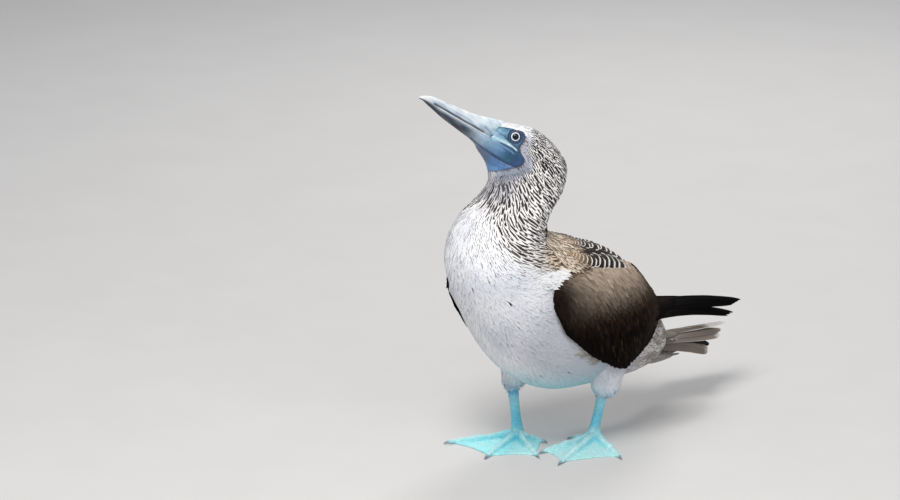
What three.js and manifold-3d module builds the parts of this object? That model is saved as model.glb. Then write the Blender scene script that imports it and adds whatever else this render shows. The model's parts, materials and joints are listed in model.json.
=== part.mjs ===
// Blue-footed booby (Sula nebouxii), a standing adult, life size, as a still museum model.
// Millimetres, +Z up. The bird looks along -Y, its left side is +X.
// The body is one lofted form from tail root to bill base, parted by thin planes into trunk, neck and head.
import * as THREE from 'three';
import { mergeVertices } from 'three/addons/utils/BufferGeometryUtils.js';
import Module from 'manifold-3d';

const wasm = await Module();
wasm.setup();

// ---------------------------------------------------------------- driving dimensions (mm, degrees)
const GAP = 0.45;              // clearance between neighbouring pieces
const RING = 26;               // points round a body section
const BASE = [11.4, 88.3];     // X and Y of the middle of the footprint box, moved to the origin

const HEAD_YAW = 30;           // head turned to the bird's right
const HEAD_PITCH = 30;         // bill raised above the horizon
const EYE_FORWARD = 50;        // eye line ahead of the ankles, in the turned head's own plane
const EYE_HEIGHT = 363.5;
const EYE_RADIUS = 7.8;
const EYE_SIDE = 12.2;         // centre of the eyeball from the head's middle plane
const EYE_SET = [-1.0, -1.9];  // and behind and below the point that the pupil shows at

const BILL_LENGTH = 115.8;       // eye to tip
const LEG_RADIUS = [4.9, 6.5]; // shank, sideways and fore-and-aft
const ANKLE_TOP = 15;          // where the shank leaves the foot
const WEB_THICK = 2.4;
const TOE_RADIUS = 4.4;
const CLAW_LENGTH = 9;
const BLADE = 1.7;             // thickness of a flight or tail feather layer

const LEG = {                  // toe base and feather edge of each shank: X, forward, Z
  l: { toe: [28.5, -39.5], knee: [32, -47, 51] },
  r: { toe: [-37, 21], knee: [-38, 27, 61] },
};
const TOES = {                 // bearing from straight ahead (+ to the bird's left) and length
  l: { hallux: [-32, 27], inner: [-3, 80.5], middle: [20.5, 99], outer: [64, 75.3] },
  r: { hallux: [100, 36], inner: [62, 74], middle: [20, 80], outer: [-27, 80] },
};

// Body sections from tail root to bill base. Each is a plane through a point of the back line and
// a point of the belly line: forward and height of both, half width, height share of the widest
// point, and the turn of the section's plane about the vertical.
const SECTIONS = [
  // back fwd, back Z, belly fwd, belly Z, half width, widest, turn
  [-174, 102, -178, 84, 9, 0.5, 0],
  [-164, 117, -171, 70, 20, 0.5, 0],
  [-147, 137, -152, 60, 30, 0.5, 0],
  [-120, 164, -120, 56, 42, 0.5, 0],
  [-88, 192, -80, 57, 52, 0.5, 0],
  [-50, 219, -30, 60, 58, 0.5, 0],
  [-18, 233, 20, 67, 61, 0.48, 0],
  [4, 242, 63, 89, 61, 0.46, 1],
  [15, 249, 100, 127, 59, 0.45, 2],
  [21, 253, 126, 174, 58, 0.45, 3],
  [25, 257, 141, 219, 57, 0.45, 5],
  [20, 266, 137, 250, 54, 0.47, 8],
  [9, 281, 118, 275, 48, 0.5, 13],
  [-4, 296, 92, 292, 43, 0.5, 18],
  [-11, 312, 79, 306, 38, 0.5, 23],
  [-11, 328, 77.5, 317, 33.5, 0.55, 27],
  [-3, 341, 78.5, 324, 29, 0.62, 29],
  [10, 356, 80.5, 331, 24.5, 0.68, 30],
  [28, 368, 85, 339, 20.5, 0.72, 30],
  [47, 373, 90, 346.5, 17.2, 0.72, 30],
  [64, 378, 94, 354, 14.2, 0.7, 30],
];
const NAPE = [0.3, 10.8, 1.7];  // how much the neck's foot narrows toward the back: share, section, spread
const NECK_AT = 10;           // section numbers where the body is parted
const HEAD_AT = 16.5;
const FINE_FROM = 7;            // half sections are drawn from here on

// ---------------------------------------------------------------- small helpers
const rad = (d) => (d * Math.PI) / 180;
const lerp = (a, b, u) => a + (b - a) * u;
const clamp = (x, a, b) => Math.min(b, Math.max(a, x));

// smooth reading of a short table at a fractional row
function read(table, t) {
  const n = table.length;
  t = clamp(t, 0, n - 1 - 1e-9);
  const i = Math.floor(t), u = t - i;
  const p1 = table[i], p2 = table[i + 1];
  const p0 = i > 0 ? table[i - 1] : p1.map((v, k) => 2 * v - p2[k]);
  const p3 = i < n - 2 ? table[i + 2] : p2.map((v, k) => 2 * v - p1[k]);
  return p1.map((v, k) => 0.5 * (2 * v + (p2[k] - p0[k]) * u
    + (2 * p0[k] - 5 * v + 4 * p2[k] - p3[k]) * u * u + (3 * v - p0[k] - 3 * p2[k] + p3[k]) * u * u * u));
}

// bird coordinates (left, forward, up) to model coordinates
const at = (left, forward, up) => new THREE.Vector3(left, -forward, up);

// a closed solid over rings of equal length, fanned shut at both ends
function loft(rings) {
  const n = rings[0].length, pos = [], idx = [];
  for (const r of rings) for (const p of r) pos.push(p.x, p.y, p.z);
  const last = rings.length - 1;
  for (let i = 0; i < last; i++) for (let j = 0; j < n; j++) {
    const a = i * n + j, b = i * n + ((j + 1) % n);
    idx.push(a, b, a + n, b, b + n, a + n);
  }
  for (const [i, flip] of [[0, false], [last, true]]) {
    const c = new THREE.Vector3();
    rings[i].forEach((p) => c.add(p));
    c.divideScalar(n);
    const k = pos.length / 3;
    pos.push(c.x, c.y, c.z);
    for (let j = 0; j < n; j++) {
      const a = i * n + j, b = i * n + ((j + 1) % n);
      if (flip) idx.push(k, a, b); else idx.push(k, b, a);
    }
  }
  const g = new THREE.BufferGeometry();
  g.setAttribute('position', new THREE.Float32BufferAttribute(pos, 3));
  g.setIndex(idx);
  return g;
}

// three.js geometry to a solid for joining and cutting, turned right side out if need be
function solid(geometry) {
  let g = geometry.clone();
  g.deleteAttribute('normal');
  g.deleteAttribute('uv');
  g = mergeVertices(g, 1e-4);
  const p = g.attributes.position.array;
  let tri = Uint32Array.from(g.index.array), vol = 0;
  for (let i = 0; i < tri.length; i += 3) {
    const [a, b, c] = [0, 1, 2].map((k) => new THREE.Vector3().fromArray(p, tri[i + k] * 3));
    vol += a.dot(b.cross(c));
  }
  if (vol < 0) tri = tri.map((v, i) => tri[i - (i % 3) + (i % 3 === 0 ? 0 : 3 - (i % 3))]);
  return new wasm.Manifold(new wasm.Mesh({ numProp: 3, vertProperties: new Float32Array(p), triVerts: tri }));
}

// the largest piece of a solid, so that a cut leaves no crumbs
function largest(m) {
  return m.decompose().sort((a, b) => b.volume() - a.volume())[0];
}

function back(m) {
  const mesh = m.getMesh();
  const g = new THREE.BufferGeometry();
  const pos = new Float32Array(mesh.vertProperties.length / mesh.numProp * 3);
  for (let i = 0; i < pos.length / 3; i++) for (let k = 0; k < 3; k++) pos[i * 3 + k] = mesh.vertProperties[i * mesh.numProp + k];
  g.setAttribute('position', new THREE.BufferAttribute(pos, 3));
  g.setIndex([...mesh.triVerts]);
  g.computeVertexNormals();
  return g;
}

const box = (w, d, h, x, y, z) => new THREE.BoxGeometry(w, d, h).translate(x, y, z);

// ---------------------------------------------------------------- the body form
function bodyPoint(t, angle, grow = 0) {
  const [bf, bz, vf, vz, w, k, turn] = read(SECTIONS, t);
  const len = Math.hypot(bf - vf, bz - vz), uf = (bf - vf) / len, uz = (bz - vz) / len;
  const cf = vf + (bf - vf) * k, cz = vz + (bz - vz) * k;
  const c = Math.cos(angle), s = Math.sin(angle);
  const slim = NAPE[0] * Math.exp(-(((t - NAPE[1]) / NAPE[2]) ** 2)) * Math.max(s, 0) ** 1.5;
  const side = (w + grow) * Math.sign(c) * Math.abs(c) ** 0.95 * (1 - slim);
  const rise = ((s > 0 ? (1 - k) : k) * len + grow) * Math.sign(s) * Math.abs(s) ** 0.95;
  const f = cf + uf * rise, a = rad(turn);
  return at(-Math.sin(a) * f + Math.cos(a) * side, Math.cos(a) * f + Math.sin(a) * side, cz + uz * rise);
}

function bodyRing(t, grow = 0) {
  return Array.from({ length: RING }, (_, j) => bodyPoint(t, (j / RING) * 2 * Math.PI, grow));
}

function bodyPart(from, to, grow = 0) {
  const ts = [from];
  for (let t = 1; t < to - 0.12; t += t < FINE_FROM ? 1 : 0.5) if (t > from + 0.12) ts.push(t);
  ts.push(to);
  const rings = ts.map((t) => bodyRing(t, grow));
  if (grow > 0) {              // a cutter also runs a little past both ends
    const centre = (r) => r.reduce((s, p) => s.add(p), new THREE.Vector3()).divideScalar(RING);
    const past = (ring, next) => {
      const n = new THREE.Vector3().subVectors(ring[6], ring[0]).cross(new THREE.Vector3().subVectors(ring[13], ring[0])).normalize();
      if (n.dot(centre(ring).sub(centre(next))) < 0) n.negate();
      return ring.map((p) => p.clone().addScaledVector(n, grow));
    };
    const first = past(rings[0], rings[1]), end = past(rings[rings.length - 1], rings[rings.length - 2]);
    rings.unshift(first);
    rings.push(end);
  }
  return loft(rings);
}

// a point of the turned and raised head: along the bill, across it upward, and to the left
function headPoint(along, above, side = 0) {
  const p = rad(HEAD_PITCH), y = rad(HEAD_YAW);
  const f = EYE_FORWARD + along * Math.cos(p) - above * Math.sin(p);
  const z = EYE_HEIGHT + along * Math.sin(p) + above * Math.cos(p);
  return at(-Math.sin(y) * f + Math.cos(y) * side, Math.cos(y) * f + Math.sin(y) * side, z);
}

// a round bar through bird points, each with its sideways and its upright half width
function bar(points, sizes, n = 12) {
  const v = points.map((p) => at(...p));
  return loft(v.map((p, i) => {
    const dir = new THREE.Vector3().subVectors(v[Math.min(i + 1, v.length - 1)], v[Math.max(i - 1, 0)]).normalize();
    const ref = Math.abs(dir.z) > 0.8 ? new THREE.Vector3(0, 1, 0) : new THREE.Vector3(0, 0, 1);
    const side = new THREE.Vector3().crossVectors(dir, ref).normalize();
    const up = new THREE.Vector3().crossVectors(side, dir);
    const [a, b] = sizes[i];
    return Array.from({ length: n }, (_, j) => {
      const q = (j / n) * 2 * Math.PI;
      return p.clone().addScaledVector(side, a * Math.cos(q)).addScaledVector(up, b * Math.sin(q));
    });
  }));
}

// a flat feather layer along a bent line from root over mid to tip; roll tips its outer face up
const BLADE_CUTS = [0, 0.3, 0.55, 0.78, 0.93, 1];
function blade(root, mid, tip, half, roll, thick = BLADE, cuts = BLADE_CUTS) {
  const curve = new THREE.QuadraticBezierCurve3(at(...root), at(...mid), at(...tip));
  const rings = [];
  for (const u of cuts) {
    const p = curve.getPoint(u), dir = curve.getTangent(u);
    const out = new THREE.Vector3(Math.cos(rad(roll)), 0, Math.sin(rad(roll)));
    const wide = new THREE.Vector3().crossVectors(dir, out).normalize();
    const face = new THREE.Vector3().crossVectors(wide, dir).normalize();
    const w = half * clamp(Math.min(0.65 + u * 2.2, 1) * Math.sqrt(Math.max(0.03, 1 - u ** 6)), 0.12, 1);
    const h = (thick / 2) * (u === 1 ? 0.6 : 1);
    rings.push([[-1, -0.8], [1, -0.8], [1, 0.5], [0, 1.2], [-1, 0.5]]
      .map(([a, b]) => p.clone().addScaledVector(wide, a * w).addScaledVector(face, b * h)));
  }
  return loft(rings);
}

const group = new THREE.Group();
const paint = (color, roughness) => new THREE.MeshStandardMaterial({ color, roughness, metalness: 0 });
function add(name, shape, material) {
  const g = shape instanceof THREE.BufferGeometry ? shape : back(shape);
  const mesh = new THREE.Mesh(g, material);
  mesh.name = name;
  group.add(mesh);
}

const plumeWhite = () => paint(0xe9e7ea, 0.85);
const plumeNeck = () => paint(0xa79d90, 0.85);
const plumeBrown = () => paint(0x3f3229, 0.75);
const plumeBlack = () => paint(0x1b1a1b, 0.7);
const plumeTail = () => paint(0x7d756c, 0.8);
const skinBlue = () => paint(0x4fb9d6, 0.55);
const hornBlue = () => paint(0x9fb1bd, 0.45);
const hornDark = () => paint(0x5d6a76, 0.45);
const clawGrey = () => paint(0x6f7c85, 0.5);
const eyePale = () => paint(0xe9e4c8, 0.15);

// ---------------------------------------------------------------- trunk, neck and head
const bodyGrown = solid(bodyPart(0, SECTIONS.length - 1, GAP));
const trunk = solid(bodyPart(0, NECK_AT - 0.015));
const neck = bodyPart(NECK_AT + 0.015, HEAD_AT - 0.015);
const headRaw = solid(bodyPart(HEAD_AT + 0.015, SECTIONS.length - 1));

const eyes = {};
let head = headRaw;
for (const [side, s] of [['l', 1], ['r', -1]]) {
  const c = headPoint(...EYE_SET, s * EYE_SIDE);
  const ball = (r) => {
    const g = new THREE.SphereGeometry(r, 16, 9);
    g.rotateX(Math.PI / 2);
    return g.translate(c.x, c.y, c.z);
  };
  eyes[side] = solid(ball(EYE_RADIUS));
  head = head.subtract(solid(ball(EYE_RADIUS + GAP)));
}

// ---------------------------------------------------------------- bill
// along the bill from the eye: height of the culmen, of the mouth line and of the lower edge, half width
const BILL = [
  // along, culmen, mouth, lower edge, half width
  [14, 7.2, -14.2, -40.5, 15.0],
  [24, 5.0, -15.4, -35.0, 13.6],
  [34, 2.6, -15.2, -29.8, 12.2],
  [45, 0.1, -14.6, -26.9, 10.9],
  [57, -1.4, -14.2, -25.1, 9.6],
  [70, -2.6, -13.7, -23.0, 8.2],
  [83, -3.3, -13.1, -20.8, 6.9],
  [96, -4.2, -12.7, -17.6, 5.4],
  [105, -5.7, -12.5, -15.4, 4.1],
  [111, -8.2, -12.5, -13.7, 2.8],
  [BILL_LENGTH, -11.4, -12.7, -13.1, 1.2],
];
// cross-section shares: half width and height above (or below) the mouth line
const UPPER_FORM = [[-1, 0], [-1, 0.3], [-0.84, 0.6], [-0.62, 0.82], [-0.3, 0.97], [0, 1], [0.3, 0.97], [0.62, 0.82], [0.84, 0.6], [1, 0.3], [1, 0], [0.5, 0.02], [-0.5, 0.02]];
const LOWER_FORM = [[-1, 0], [-0.5, 0.02], [0.5, 0.02], [1, 0], [0.98, 0.35], [0.78, 0.7], [0.42, 0.94], [0, 1], [-0.42, 0.94], [-0.78, 0.7], [-0.98, 0.35]];
const headGrown = solid(bodyPart(HEAD_AT, SECTIONS.length - 1, GAP));
function bill(upper) {
  const rings = [];
  const stop = BILL.length - 1;
  for (let t = 0; t <= stop; t += 1) {
    const [a, top, mouth, low, w] = read(BILL, t);
    const form = upper ? UPPER_FORM : LOWER_FORM;
    rings.push(form.map(([x, y]) => headPoint(a - (upper ? 0 : 1.2 * (t / stop)),
      upper ? mouth + 0.15 + y * Math.max(top - mouth - 0.15, 0.8) : mouth - 0.2 - y * Math.max(mouth - 0.2 - low, 0.7),
      x * w * (upper ? 1 : 0.95))));
  }
  return largest(solid(loft(rings)).subtract(headGrown));
}

// ---------------------------------------------------------------- wings
// the folded wing from wrist to rear: forward, top and bottom height, outward reach at top, middle and bottom
const WING = [
  [61, 193, 183, 58, 59, 59],
  [57, 201, 170, 57, 64, 63],
  [45, 208, 149, 55, 67, 64],
  [25, 214, 131, 53, 70, 64],
  [0, 215, 112, 52, 72, 64],
  [-28, 212, 96, 50, 72, 63],
  [-55, 208, 86, 45, 70, 60],
  [-82, 200, 94, 39, 65, 56],
  [-104, 186, 103, 33, 57, 51],
  [-121, 168, 113, 32, 48, 46],
  [-133, 147, 127, 38, 42, 43],
];
const WING_THICK = 13;
const WING_SHIFT = { l: [0, 0], r: [18, 30] };   // the far wing is held a little out and forward,
const WING_R = [[65, 212, 183, 58, 59, 59], [58.7, 215, 170, 57, 64, 63], [52, 216, 151, 55, 67, 64], [40, 216, 129, 53, 70, 64],
  [18, 215, 108, 52, 72, 64], [-18, 212, 95, 50, 72, 63]].concat(WING.slice(6));   // and its front is squarer
function wing(side, grow = 0) {
  const s = side === 'l' ? 1 : -1, [out, fore] = WING_SHIFT[side];
  const rings = [], nv = 7, rows = WING.length - 1;
  for (let t = 0; t <= rows; t += 0.5) {
    const [f, zt, zb, xt, xm, xb] = read(side === 'l' ? WING : WING_R, t);
    const front = clamp(1 - t / 8, 0, 1), ends = Math.sin(Math.PI * clamp((t + 0.5) / (rows + 1), 0.06, 0.94)) ** 0.5;
    const line = (face) => Array.from({ length: nv }, (_, j) => {
      const v = (j / (nv - 1)) * 2 - 1;
      const mid = lerp(lerp(xb, xt, (v + 1) / 2), xm, 1 - v * v);
      const thick = 1.6 + (WING_THICK - 1.6) * (1 - Math.abs(v) ** 3) * ends;
      const x = face > 0 ? mid + grow : mid - thick - grow;
      const z = lerp(zb, zt, (v + 1) / 2) + grow * v;
      return at(s * (x + out * front), f + fore * front + (t === 0 ? grow : t === rows ? -grow : 0), z);
    });
    rings.push([...line(1), ...line(-1).reverse()]);
  }
  return solid(loft(rings));
}

// primaries: each layer lies a step lower and farther out than the last, and ends short of it;
// the right wing's reach a little farther
const PRIMARIES = 4;
function primaries(side) {
  const s = side === 'l' ? 1 : -1, far = side === 'l' ? 0 : 9, low = side === 'l' ? 0 : 8;
  let all = null;
  for (let i = 0; i < PRIMARIES; i++) {
    const b = blade(
      [s * (38 + 3.2 * i), -100, 142 - 4.4 * i - low],
      [s * (20 + 3.4 * i), -184, 137 - 4.6 * i - low],
      [s * (11 + 2.2 * i), -308 + 9 * i - far, 104 - 4.6 * i - low],
      9 - 0.6 * i, s > 0 ? 42 : 138, BLADE);
    const m = solid(b);
    all = all ? all.add(m) : m;
  }
  return largest(all.subtract(wing(side, GAP)).subtract(bodyGrown));
}

// the mantle and scapular feathers that lie over the wing's upper edge
const SCAPULAR = [3.35, 8.6];   // section numbers it spans
function scapular(side, grow = 0) {
  const s = side === 'l' ? 1 : -1, rings = [], steps = 8, nv = 6;
  for (let i = 0; i <= steps; i++) {
    const u = i / steps, t = lerp(SCAPULAR[0] - grow * 0.1, SCAPULAR[1] + grow * 0.1, u);
    const full = lerp(12.5, 1.5, u) + 3 * Math.sin(Math.PI * u);
    const low = lerp(40, 33, Math.sin(Math.PI * u)) - grow * 2, high = 86 + grow * 2;
    const line = (face) => Array.from({ length: nv }, (_, j) => {
      const v = j / (nv - 1), a = rad(lerp(low, high, v));
      const h = 0.9 + full * Math.sin(Math.PI * clamp(0.2 + v * 0.72, 0, 1));
      return bodyPoint(t, s > 0 ? a : Math.PI - a, face > 0 ? h + GAP + grow : -2);
    });
    rings.push([...line(1), ...line(-1).reverse()]);
  }
  return solid(loft(rings));
}

// ---------------------------------------------------------------- tail
const RECTRICES = 6;           // on each side of the middle
function tail() {
  let all = solid(bar([[0, -150, 96], [0, -166, 90], [0, -186, 86]], [[19, 11], [17, 8.5], [14, 3.5]], 12));
  for (const s of [1, -1]) for (let i = 0; i < RECTRICES; i++) {
    const b = blade(
      [s * (2 + 2.4 * i), -148, 92 - 1.6 * i],
      [s * (3 + 3.6 * i), -200, 86 - 1.9 * i],
      [s * (3 + 5.7 * i), -288 + 14.5 * i, 76.5 - 2.7 * i],
      10, s > 0 ? 78 - 5 * i : 102 + 5 * i, 1.8, [0, 0.35, 0.75, 0.94, 1]);
    all = all.add(solid(b));
  }
  return largest(all.subtract(bodyGrown));
}

// ---------------------------------------------------------------- legs and feet
function thigh(side, grow = 0) {
  const [x, f, z] = LEG[side].knee, s = side === 'l' ? 1 : -1;
  const k = side === 'l' ? 1.12 : 1;
  const g = bar([[x, f, z - grow], [x + s * 0.4, f - 1, z + 4], [x + s * 1, f - 3, z + 12], [x + s * 1, f - 6, z + 24], [x, f - 9, z + 44]],
    [[8, 9.5], [11 * k, 12 * k], [14.5 * k, 16.5 * k], [18, 22], [20, 28]].map(([p, q]) => [p + grow, q + grow]), 16);
  return solid(g);
}

function leg(side) {
  const [x, f] = LEG[side].toe, [kx, kf, kz] = LEG[side].knee;
  // share of the height, sideways and fore-and-aft size
  const rows = [[-0.06, 1.4, 1.6], [0.1, 1.12, 1.2], [0.25, 1, 1.02], [0.6, 1, 1], [0.88, 1.12, 1.12], [1.04, 1.2, 1.22]];
  const z0 = ANKLE_TOP + GAP;
  return solid(bar(rows.map(([u]) => [lerp(x, kx, u), lerp(f, kf, u), lerp(z0, kz, u)]),
    rows.map(([, a, b]) => [LEG_RADIUS[0] * a, LEG_RADIUS[1] * b]), 12))
    .subtract(solid(box(100, 100, 20, x, -f, z0 - 10))).subtract(thigh(side, GAP));
}

const bearing = (x, f, deg, d) => [x + Math.sin(rad(deg)) * d, f + Math.cos(rad(deg)) * d];
const ORDER = ['hallux', 'inner', 'middle', 'outer'];
function foot(side) {
  const [x, f] = LEG[side].toe, toes = TOES[side];
  const spot = (deg, d) => bearing(x, f, side === 'l' ? deg : deg, d);
  // web between the four toes, its free edges drawn in
  const shape = new THREE.Shape();
  const heel = ORDER.map((n) => toes[n][0]).reduce((a, b) => a + b) / 4 + 180;
  const h = bearing(x, f, heel, 6);
  shape.moveTo(h[0], h[1]);
  ORDER.forEach((name, i) => {
    const [deg, len] = toes[name], tip = spot(deg, len - 3);
    if (i === 0) shape.lineTo(...tip);
    else {
      const [d0, l0] = toes[ORDER[i - 1]];
      const c = spot((deg + d0) / 2, (len + l0) * (Math.abs(deg - d0) > 30 ? 0.385 : 0.43));
      shape.quadraticCurveTo(c[0], c[1], tip[0], tip[1]);
    }
  });
  shape.closePath();
  const web = new THREE.ExtrudeGeometry(shape, { depth: WEB_THICK, bevelEnabled: false, curveSegments: 4 });
  web.scale(1, -1, 1);
  let m = solid(web);
  for (const name of ORDER) {
    const [deg, len] = toes[name], r = TOE_RADIUS * (name === 'hallux' ? 0.78 : 1);
    const rows = [[0, 9, 1.5], [0.14, 7, 1.3], [0.34, 4.3, 1], [0.58, 3.6, 1.05], [0.8, 2.8, 0.85], [1, 2.4, 0.6]];
    m = m.add(solid(bar(rows.map(([u, z]) => [...spot(deg, u * len), z]), rows.map(([, z, k]) => [r * k, r * k * 0.82]), 7)));
  }
  m = m.add(solid(bar([[x, f, -2], [x, f, 5], [x, f, 10], [x, f, ANKLE_TOP]], [[9, 10], [8.6, 9.6], [6.8, 8.6], [LEG_RADIUS[0] * 1.38, LEG_RADIUS[1] * 1.58]], 14)));
  return m.subtract(solid(box(400, 400, 40, x, -f, -20)));
}

function claw(side, i) {
  const [x, f] = LEG[side].toe, [deg, len] = TOES[side][ORDER[i]];
  const L = CLAW_LENGTH * (ORDER[i] === 'middle' ? 1.2 : ORDER[i] === 'hallux' ? 0.8 : 1);
  const rows = [[0.8, 2.7, 1.9, 2.0], [L * 0.45, 2.9, 1.6, 1.8], [L * 0.8, 1.9, 0.9, 1.1], [L, 0.9, 0.35, 0.4]];
  const g = bar(rows.map(([d, z]) => [...bearing(x, f, deg, len + d), z]), rows.map(([, , a, b]) => [a, b]), 8);
  return solid(g).subtract(solid(box(400, 400, 40, x, -f, -20)));
}

// ---------------------------------------------------------------- assembly
add('trunk', trunk, plumeWhite());
add('neck', solid(neck), plumeNeck());
add('head', head, plumeNeck());
add('bill_upper', bill(true), hornBlue());
add('bill_lower', bill(false), hornDark());
add('tail', tail(), plumeTail());
for (const side of ['l', 'r']) {
  const scap = largest(scapular(side).subtract(bodyGrown));
  add(`eye_${side}`, eyes[side], eyePale());
  add(`scapulars_${side}`, scap, plumeBrown());
  add(`wing_${side}`, largest(wing(side).subtract(bodyGrown).subtract(scapular(side, GAP))), plumeBrown());
  add(`primaries_${side}`, primaries(side), plumeBlack());
  add(`thigh_${side}`, largest(thigh(side).subtract(bodyGrown)), plumeWhite());
  add(`leg_${side}`, leg(side), skinBlue());
  const f = foot(side);
  add(`foot_${side}`, f, skinBlue());
  for (let i = 0; i < 4; i++) {
    add(`claw_${side}_${i + 1}`, claw(side, i), clawGrey());
  }
}
group.position.set(-BASE[0], -BASE[1], 0);

export default group;
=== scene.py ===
"""A blue-footed booby as a still, life-size model: one skin under solid mesh feathers, a detailed bill,
eyes, claws and webbed feet. Lengths below are millimetres in the bird's own axes (left, back, up);
row() turns them into metres in the shared frame."""
import bpy
import json
import math
import numpy as np
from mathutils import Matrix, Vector

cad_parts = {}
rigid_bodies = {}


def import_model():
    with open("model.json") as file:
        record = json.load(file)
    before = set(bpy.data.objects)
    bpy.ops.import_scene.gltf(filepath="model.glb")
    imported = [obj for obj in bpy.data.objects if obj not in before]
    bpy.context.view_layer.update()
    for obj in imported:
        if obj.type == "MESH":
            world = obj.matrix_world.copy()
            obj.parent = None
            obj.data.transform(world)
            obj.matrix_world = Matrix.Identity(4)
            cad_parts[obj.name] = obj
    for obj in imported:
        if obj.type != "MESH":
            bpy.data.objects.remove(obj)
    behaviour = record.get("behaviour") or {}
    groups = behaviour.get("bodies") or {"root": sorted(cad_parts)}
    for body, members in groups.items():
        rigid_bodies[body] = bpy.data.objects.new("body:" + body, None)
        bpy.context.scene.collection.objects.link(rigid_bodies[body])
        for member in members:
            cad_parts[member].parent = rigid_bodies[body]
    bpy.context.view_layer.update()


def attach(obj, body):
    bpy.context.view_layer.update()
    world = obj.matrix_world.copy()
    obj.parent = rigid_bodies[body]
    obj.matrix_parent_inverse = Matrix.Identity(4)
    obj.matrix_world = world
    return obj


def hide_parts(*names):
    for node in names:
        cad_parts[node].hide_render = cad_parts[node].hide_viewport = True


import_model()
RNG = np.random.default_rng(7)
BASE = np.array([11.4, 88.3, 0.0])


# ------------------------------------------------------------------ small helpers
def row(p):
    return (np.asarray(p, float) - BASE) * 0.001


def unit(v):
    return v / np.maximum(np.linalg.norm(v, axis=-1, keepdims=True), 1e-9)


def lerp(a, b, u):
    return a + (b - a) * u


def smooth(x, lo, hi):
    u = np.clip((np.asarray(x, float) - lo) / (hi - lo), 0, 1)
    return u * u * (3 - 2 * u)


def srgb(*c):
    c = np.array(c, float) / 255
    return np.where(c <= 0.04045, c / 12.92, ((c + 0.055) / 1.055) ** 2.4)


def mix(a, b, m):
    return a * (1 - m[..., None]) + b * m[..., None]


def read(table, t):
    """smooth reading of a short table at fractional rows, straight on past both ends"""
    n = len(table)
    T = np.vstack([2 * table[0] - table[1], table, 2 * table[-1] - table[-2]])
    t = np.asarray(t, float)
    tc = np.clip(t, 0, n - 1 - 1e-9)
    i = np.floor(tc).astype(int)
    f = (tc - i)[..., None]
    a, b, c, d = T[i], T[i + 1], T[i + 2], T[i + 3]
    v = 0.5 * (2 * b + (c - a) * f + (2 * a - 5 * b + 4 * c - d) * f * f + (3 * b - 3 * c + d - a) * f ** 3)
    slope = np.where((t < 0)[..., None], table[1] - table[0], table[-1] - table[-2])
    return v + slope * (t - tc)[..., None]


def noise3(p, size, seed):
    """soft seeded noise from a few crossed waves, about -1 to 1"""
    r = np.random.default_rng(seed)
    out = 0
    for _ in range(7):
        k = r.normal(size=3)
        k = k / np.linalg.norm(k) * 2 * np.pi / size * r.uniform(0.6, 1.5)
        out = out + np.sin(p @ k + r.uniform(0, 6.283))
    return out / 3.2


# ------------------------------------------------------------------ the body's form
SECTIONS = np.array([
    # back fwd, back Z, belly fwd, belly Z, half width, widest, turn
    [-174, 102, -178, 84, 9, 0.5, 0],
    [-164, 117, -171, 70, 20, 0.5, 0],
    [-147, 137, -152, 60, 30, 0.5, 0],
    [-120, 164, -120, 56, 42, 0.5, 0],
    [-88, 192, -80, 57, 52, 0.5, 0],
    [-50, 219, -30, 60, 58, 0.5, 0],
    [-18, 233, 20, 67, 61, 0.48, 0],
    [4, 242, 63, 89, 61, 0.46, 1],
    [15, 249, 100, 127, 59, 0.45, 2],
    [21, 253, 126, 174, 58, 0.45, 3],
    [25, 257, 141, 219, 57, 0.45, 5],
    [20, 266, 137, 250, 54, 0.47, 8],
    [9, 281, 118, 275, 48, 0.5, 13],
    [-4, 296, 92, 292, 43, 0.5, 18],
    [-11, 312, 79, 306, 38, 0.5, 23],
    [-11, 328, 77.5, 317, 33.5, 0.55, 27],
    [-3, 341, 78.5, 324, 29, 0.62, 29],
    [10, 356, 80.5, 331, 24.5, 0.68, 30],
    [28, 368, 85, 339, 20.5, 0.72, 30],
    [47, 373, 90, 346.5, 17.2, 0.72, 30],
    [64, 378, 94, 354, 14.2, 0.7, 30]], float)


def body(t, ang, h=0.0):
    """a point of the body's form: section number, angle in degrees (0 left, 90 back, 270 belly), height over it"""
    s = read(SECTIONS, t)
    bf, bz, vf, vz, w, k, turn = [s[..., i] for i in range(7)]
    ln = np.hypot(bf - vf, bz - vz)
    uf, uz = (bf - vf) / ln, (bz - vz) / ln
    cf, cz = vf + (bf - vf) * k, vz + (bz - vz) * k
    a = np.radians(ang)
    c, sn = np.cos(a), np.sin(a)
    slim = 0.3 * np.exp(-((t - 10.8) / 1.7) ** 2) * np.clip(sn, 0, 1) ** 1.5
    side = (w + h) * np.sign(c) * np.abs(c) ** 0.95 * (1 - slim)
    rise = (np.where(sn > 0, 1 - k, k) * ln + h) * np.sign(sn) * np.abs(sn) ** 0.95
    f = cf + uf * rise
    y = np.radians(turn)
    return np.stack([-np.sin(y) * f + np.cos(y) * side, -(np.cos(y) * f + np.sin(y) * side), cz + uz * rise], -1)


HEAD_YAW, HEAD_PITCH = math.radians(30), math.radians(30)
EYE_F, EYE_Z = 50.0, 363.5
EYE_R, EYE_SIDE = 7.8, 12.2
EYE_SET = (-1.0, -1.9)


def head(along, above, side):
    f = EYE_F + along * math.cos(HEAD_PITCH) - above * math.sin(HEAD_PITCH)
    z = EYE_Z + along * math.sin(HEAD_PITCH) + above * math.cos(HEAD_PITCH)
    sy, cy = math.sin(HEAD_YAW), math.cos(HEAD_YAW)
    return np.stack([-sy * f + cy * side, -(cy * f + sy * side), z + 0 * f], -1)


def head_axes(p):
    """along, above and side of points, in the head's own axes"""
    X, F, Z = p[..., 0], -p[..., 1], p[..., 2]
    sy, cy = math.sin(HEAD_YAW), math.cos(HEAD_YAW)
    f = -sy * X + cy * F - EYE_F
    side = cy * X + sy * F
    z = Z - EYE_Z
    return (f * math.cos(HEAD_PITCH) + z * math.sin(HEAD_PITCH),
            -f * math.sin(HEAD_PITCH) + z * math.cos(HEAD_PITCH), side)


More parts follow.
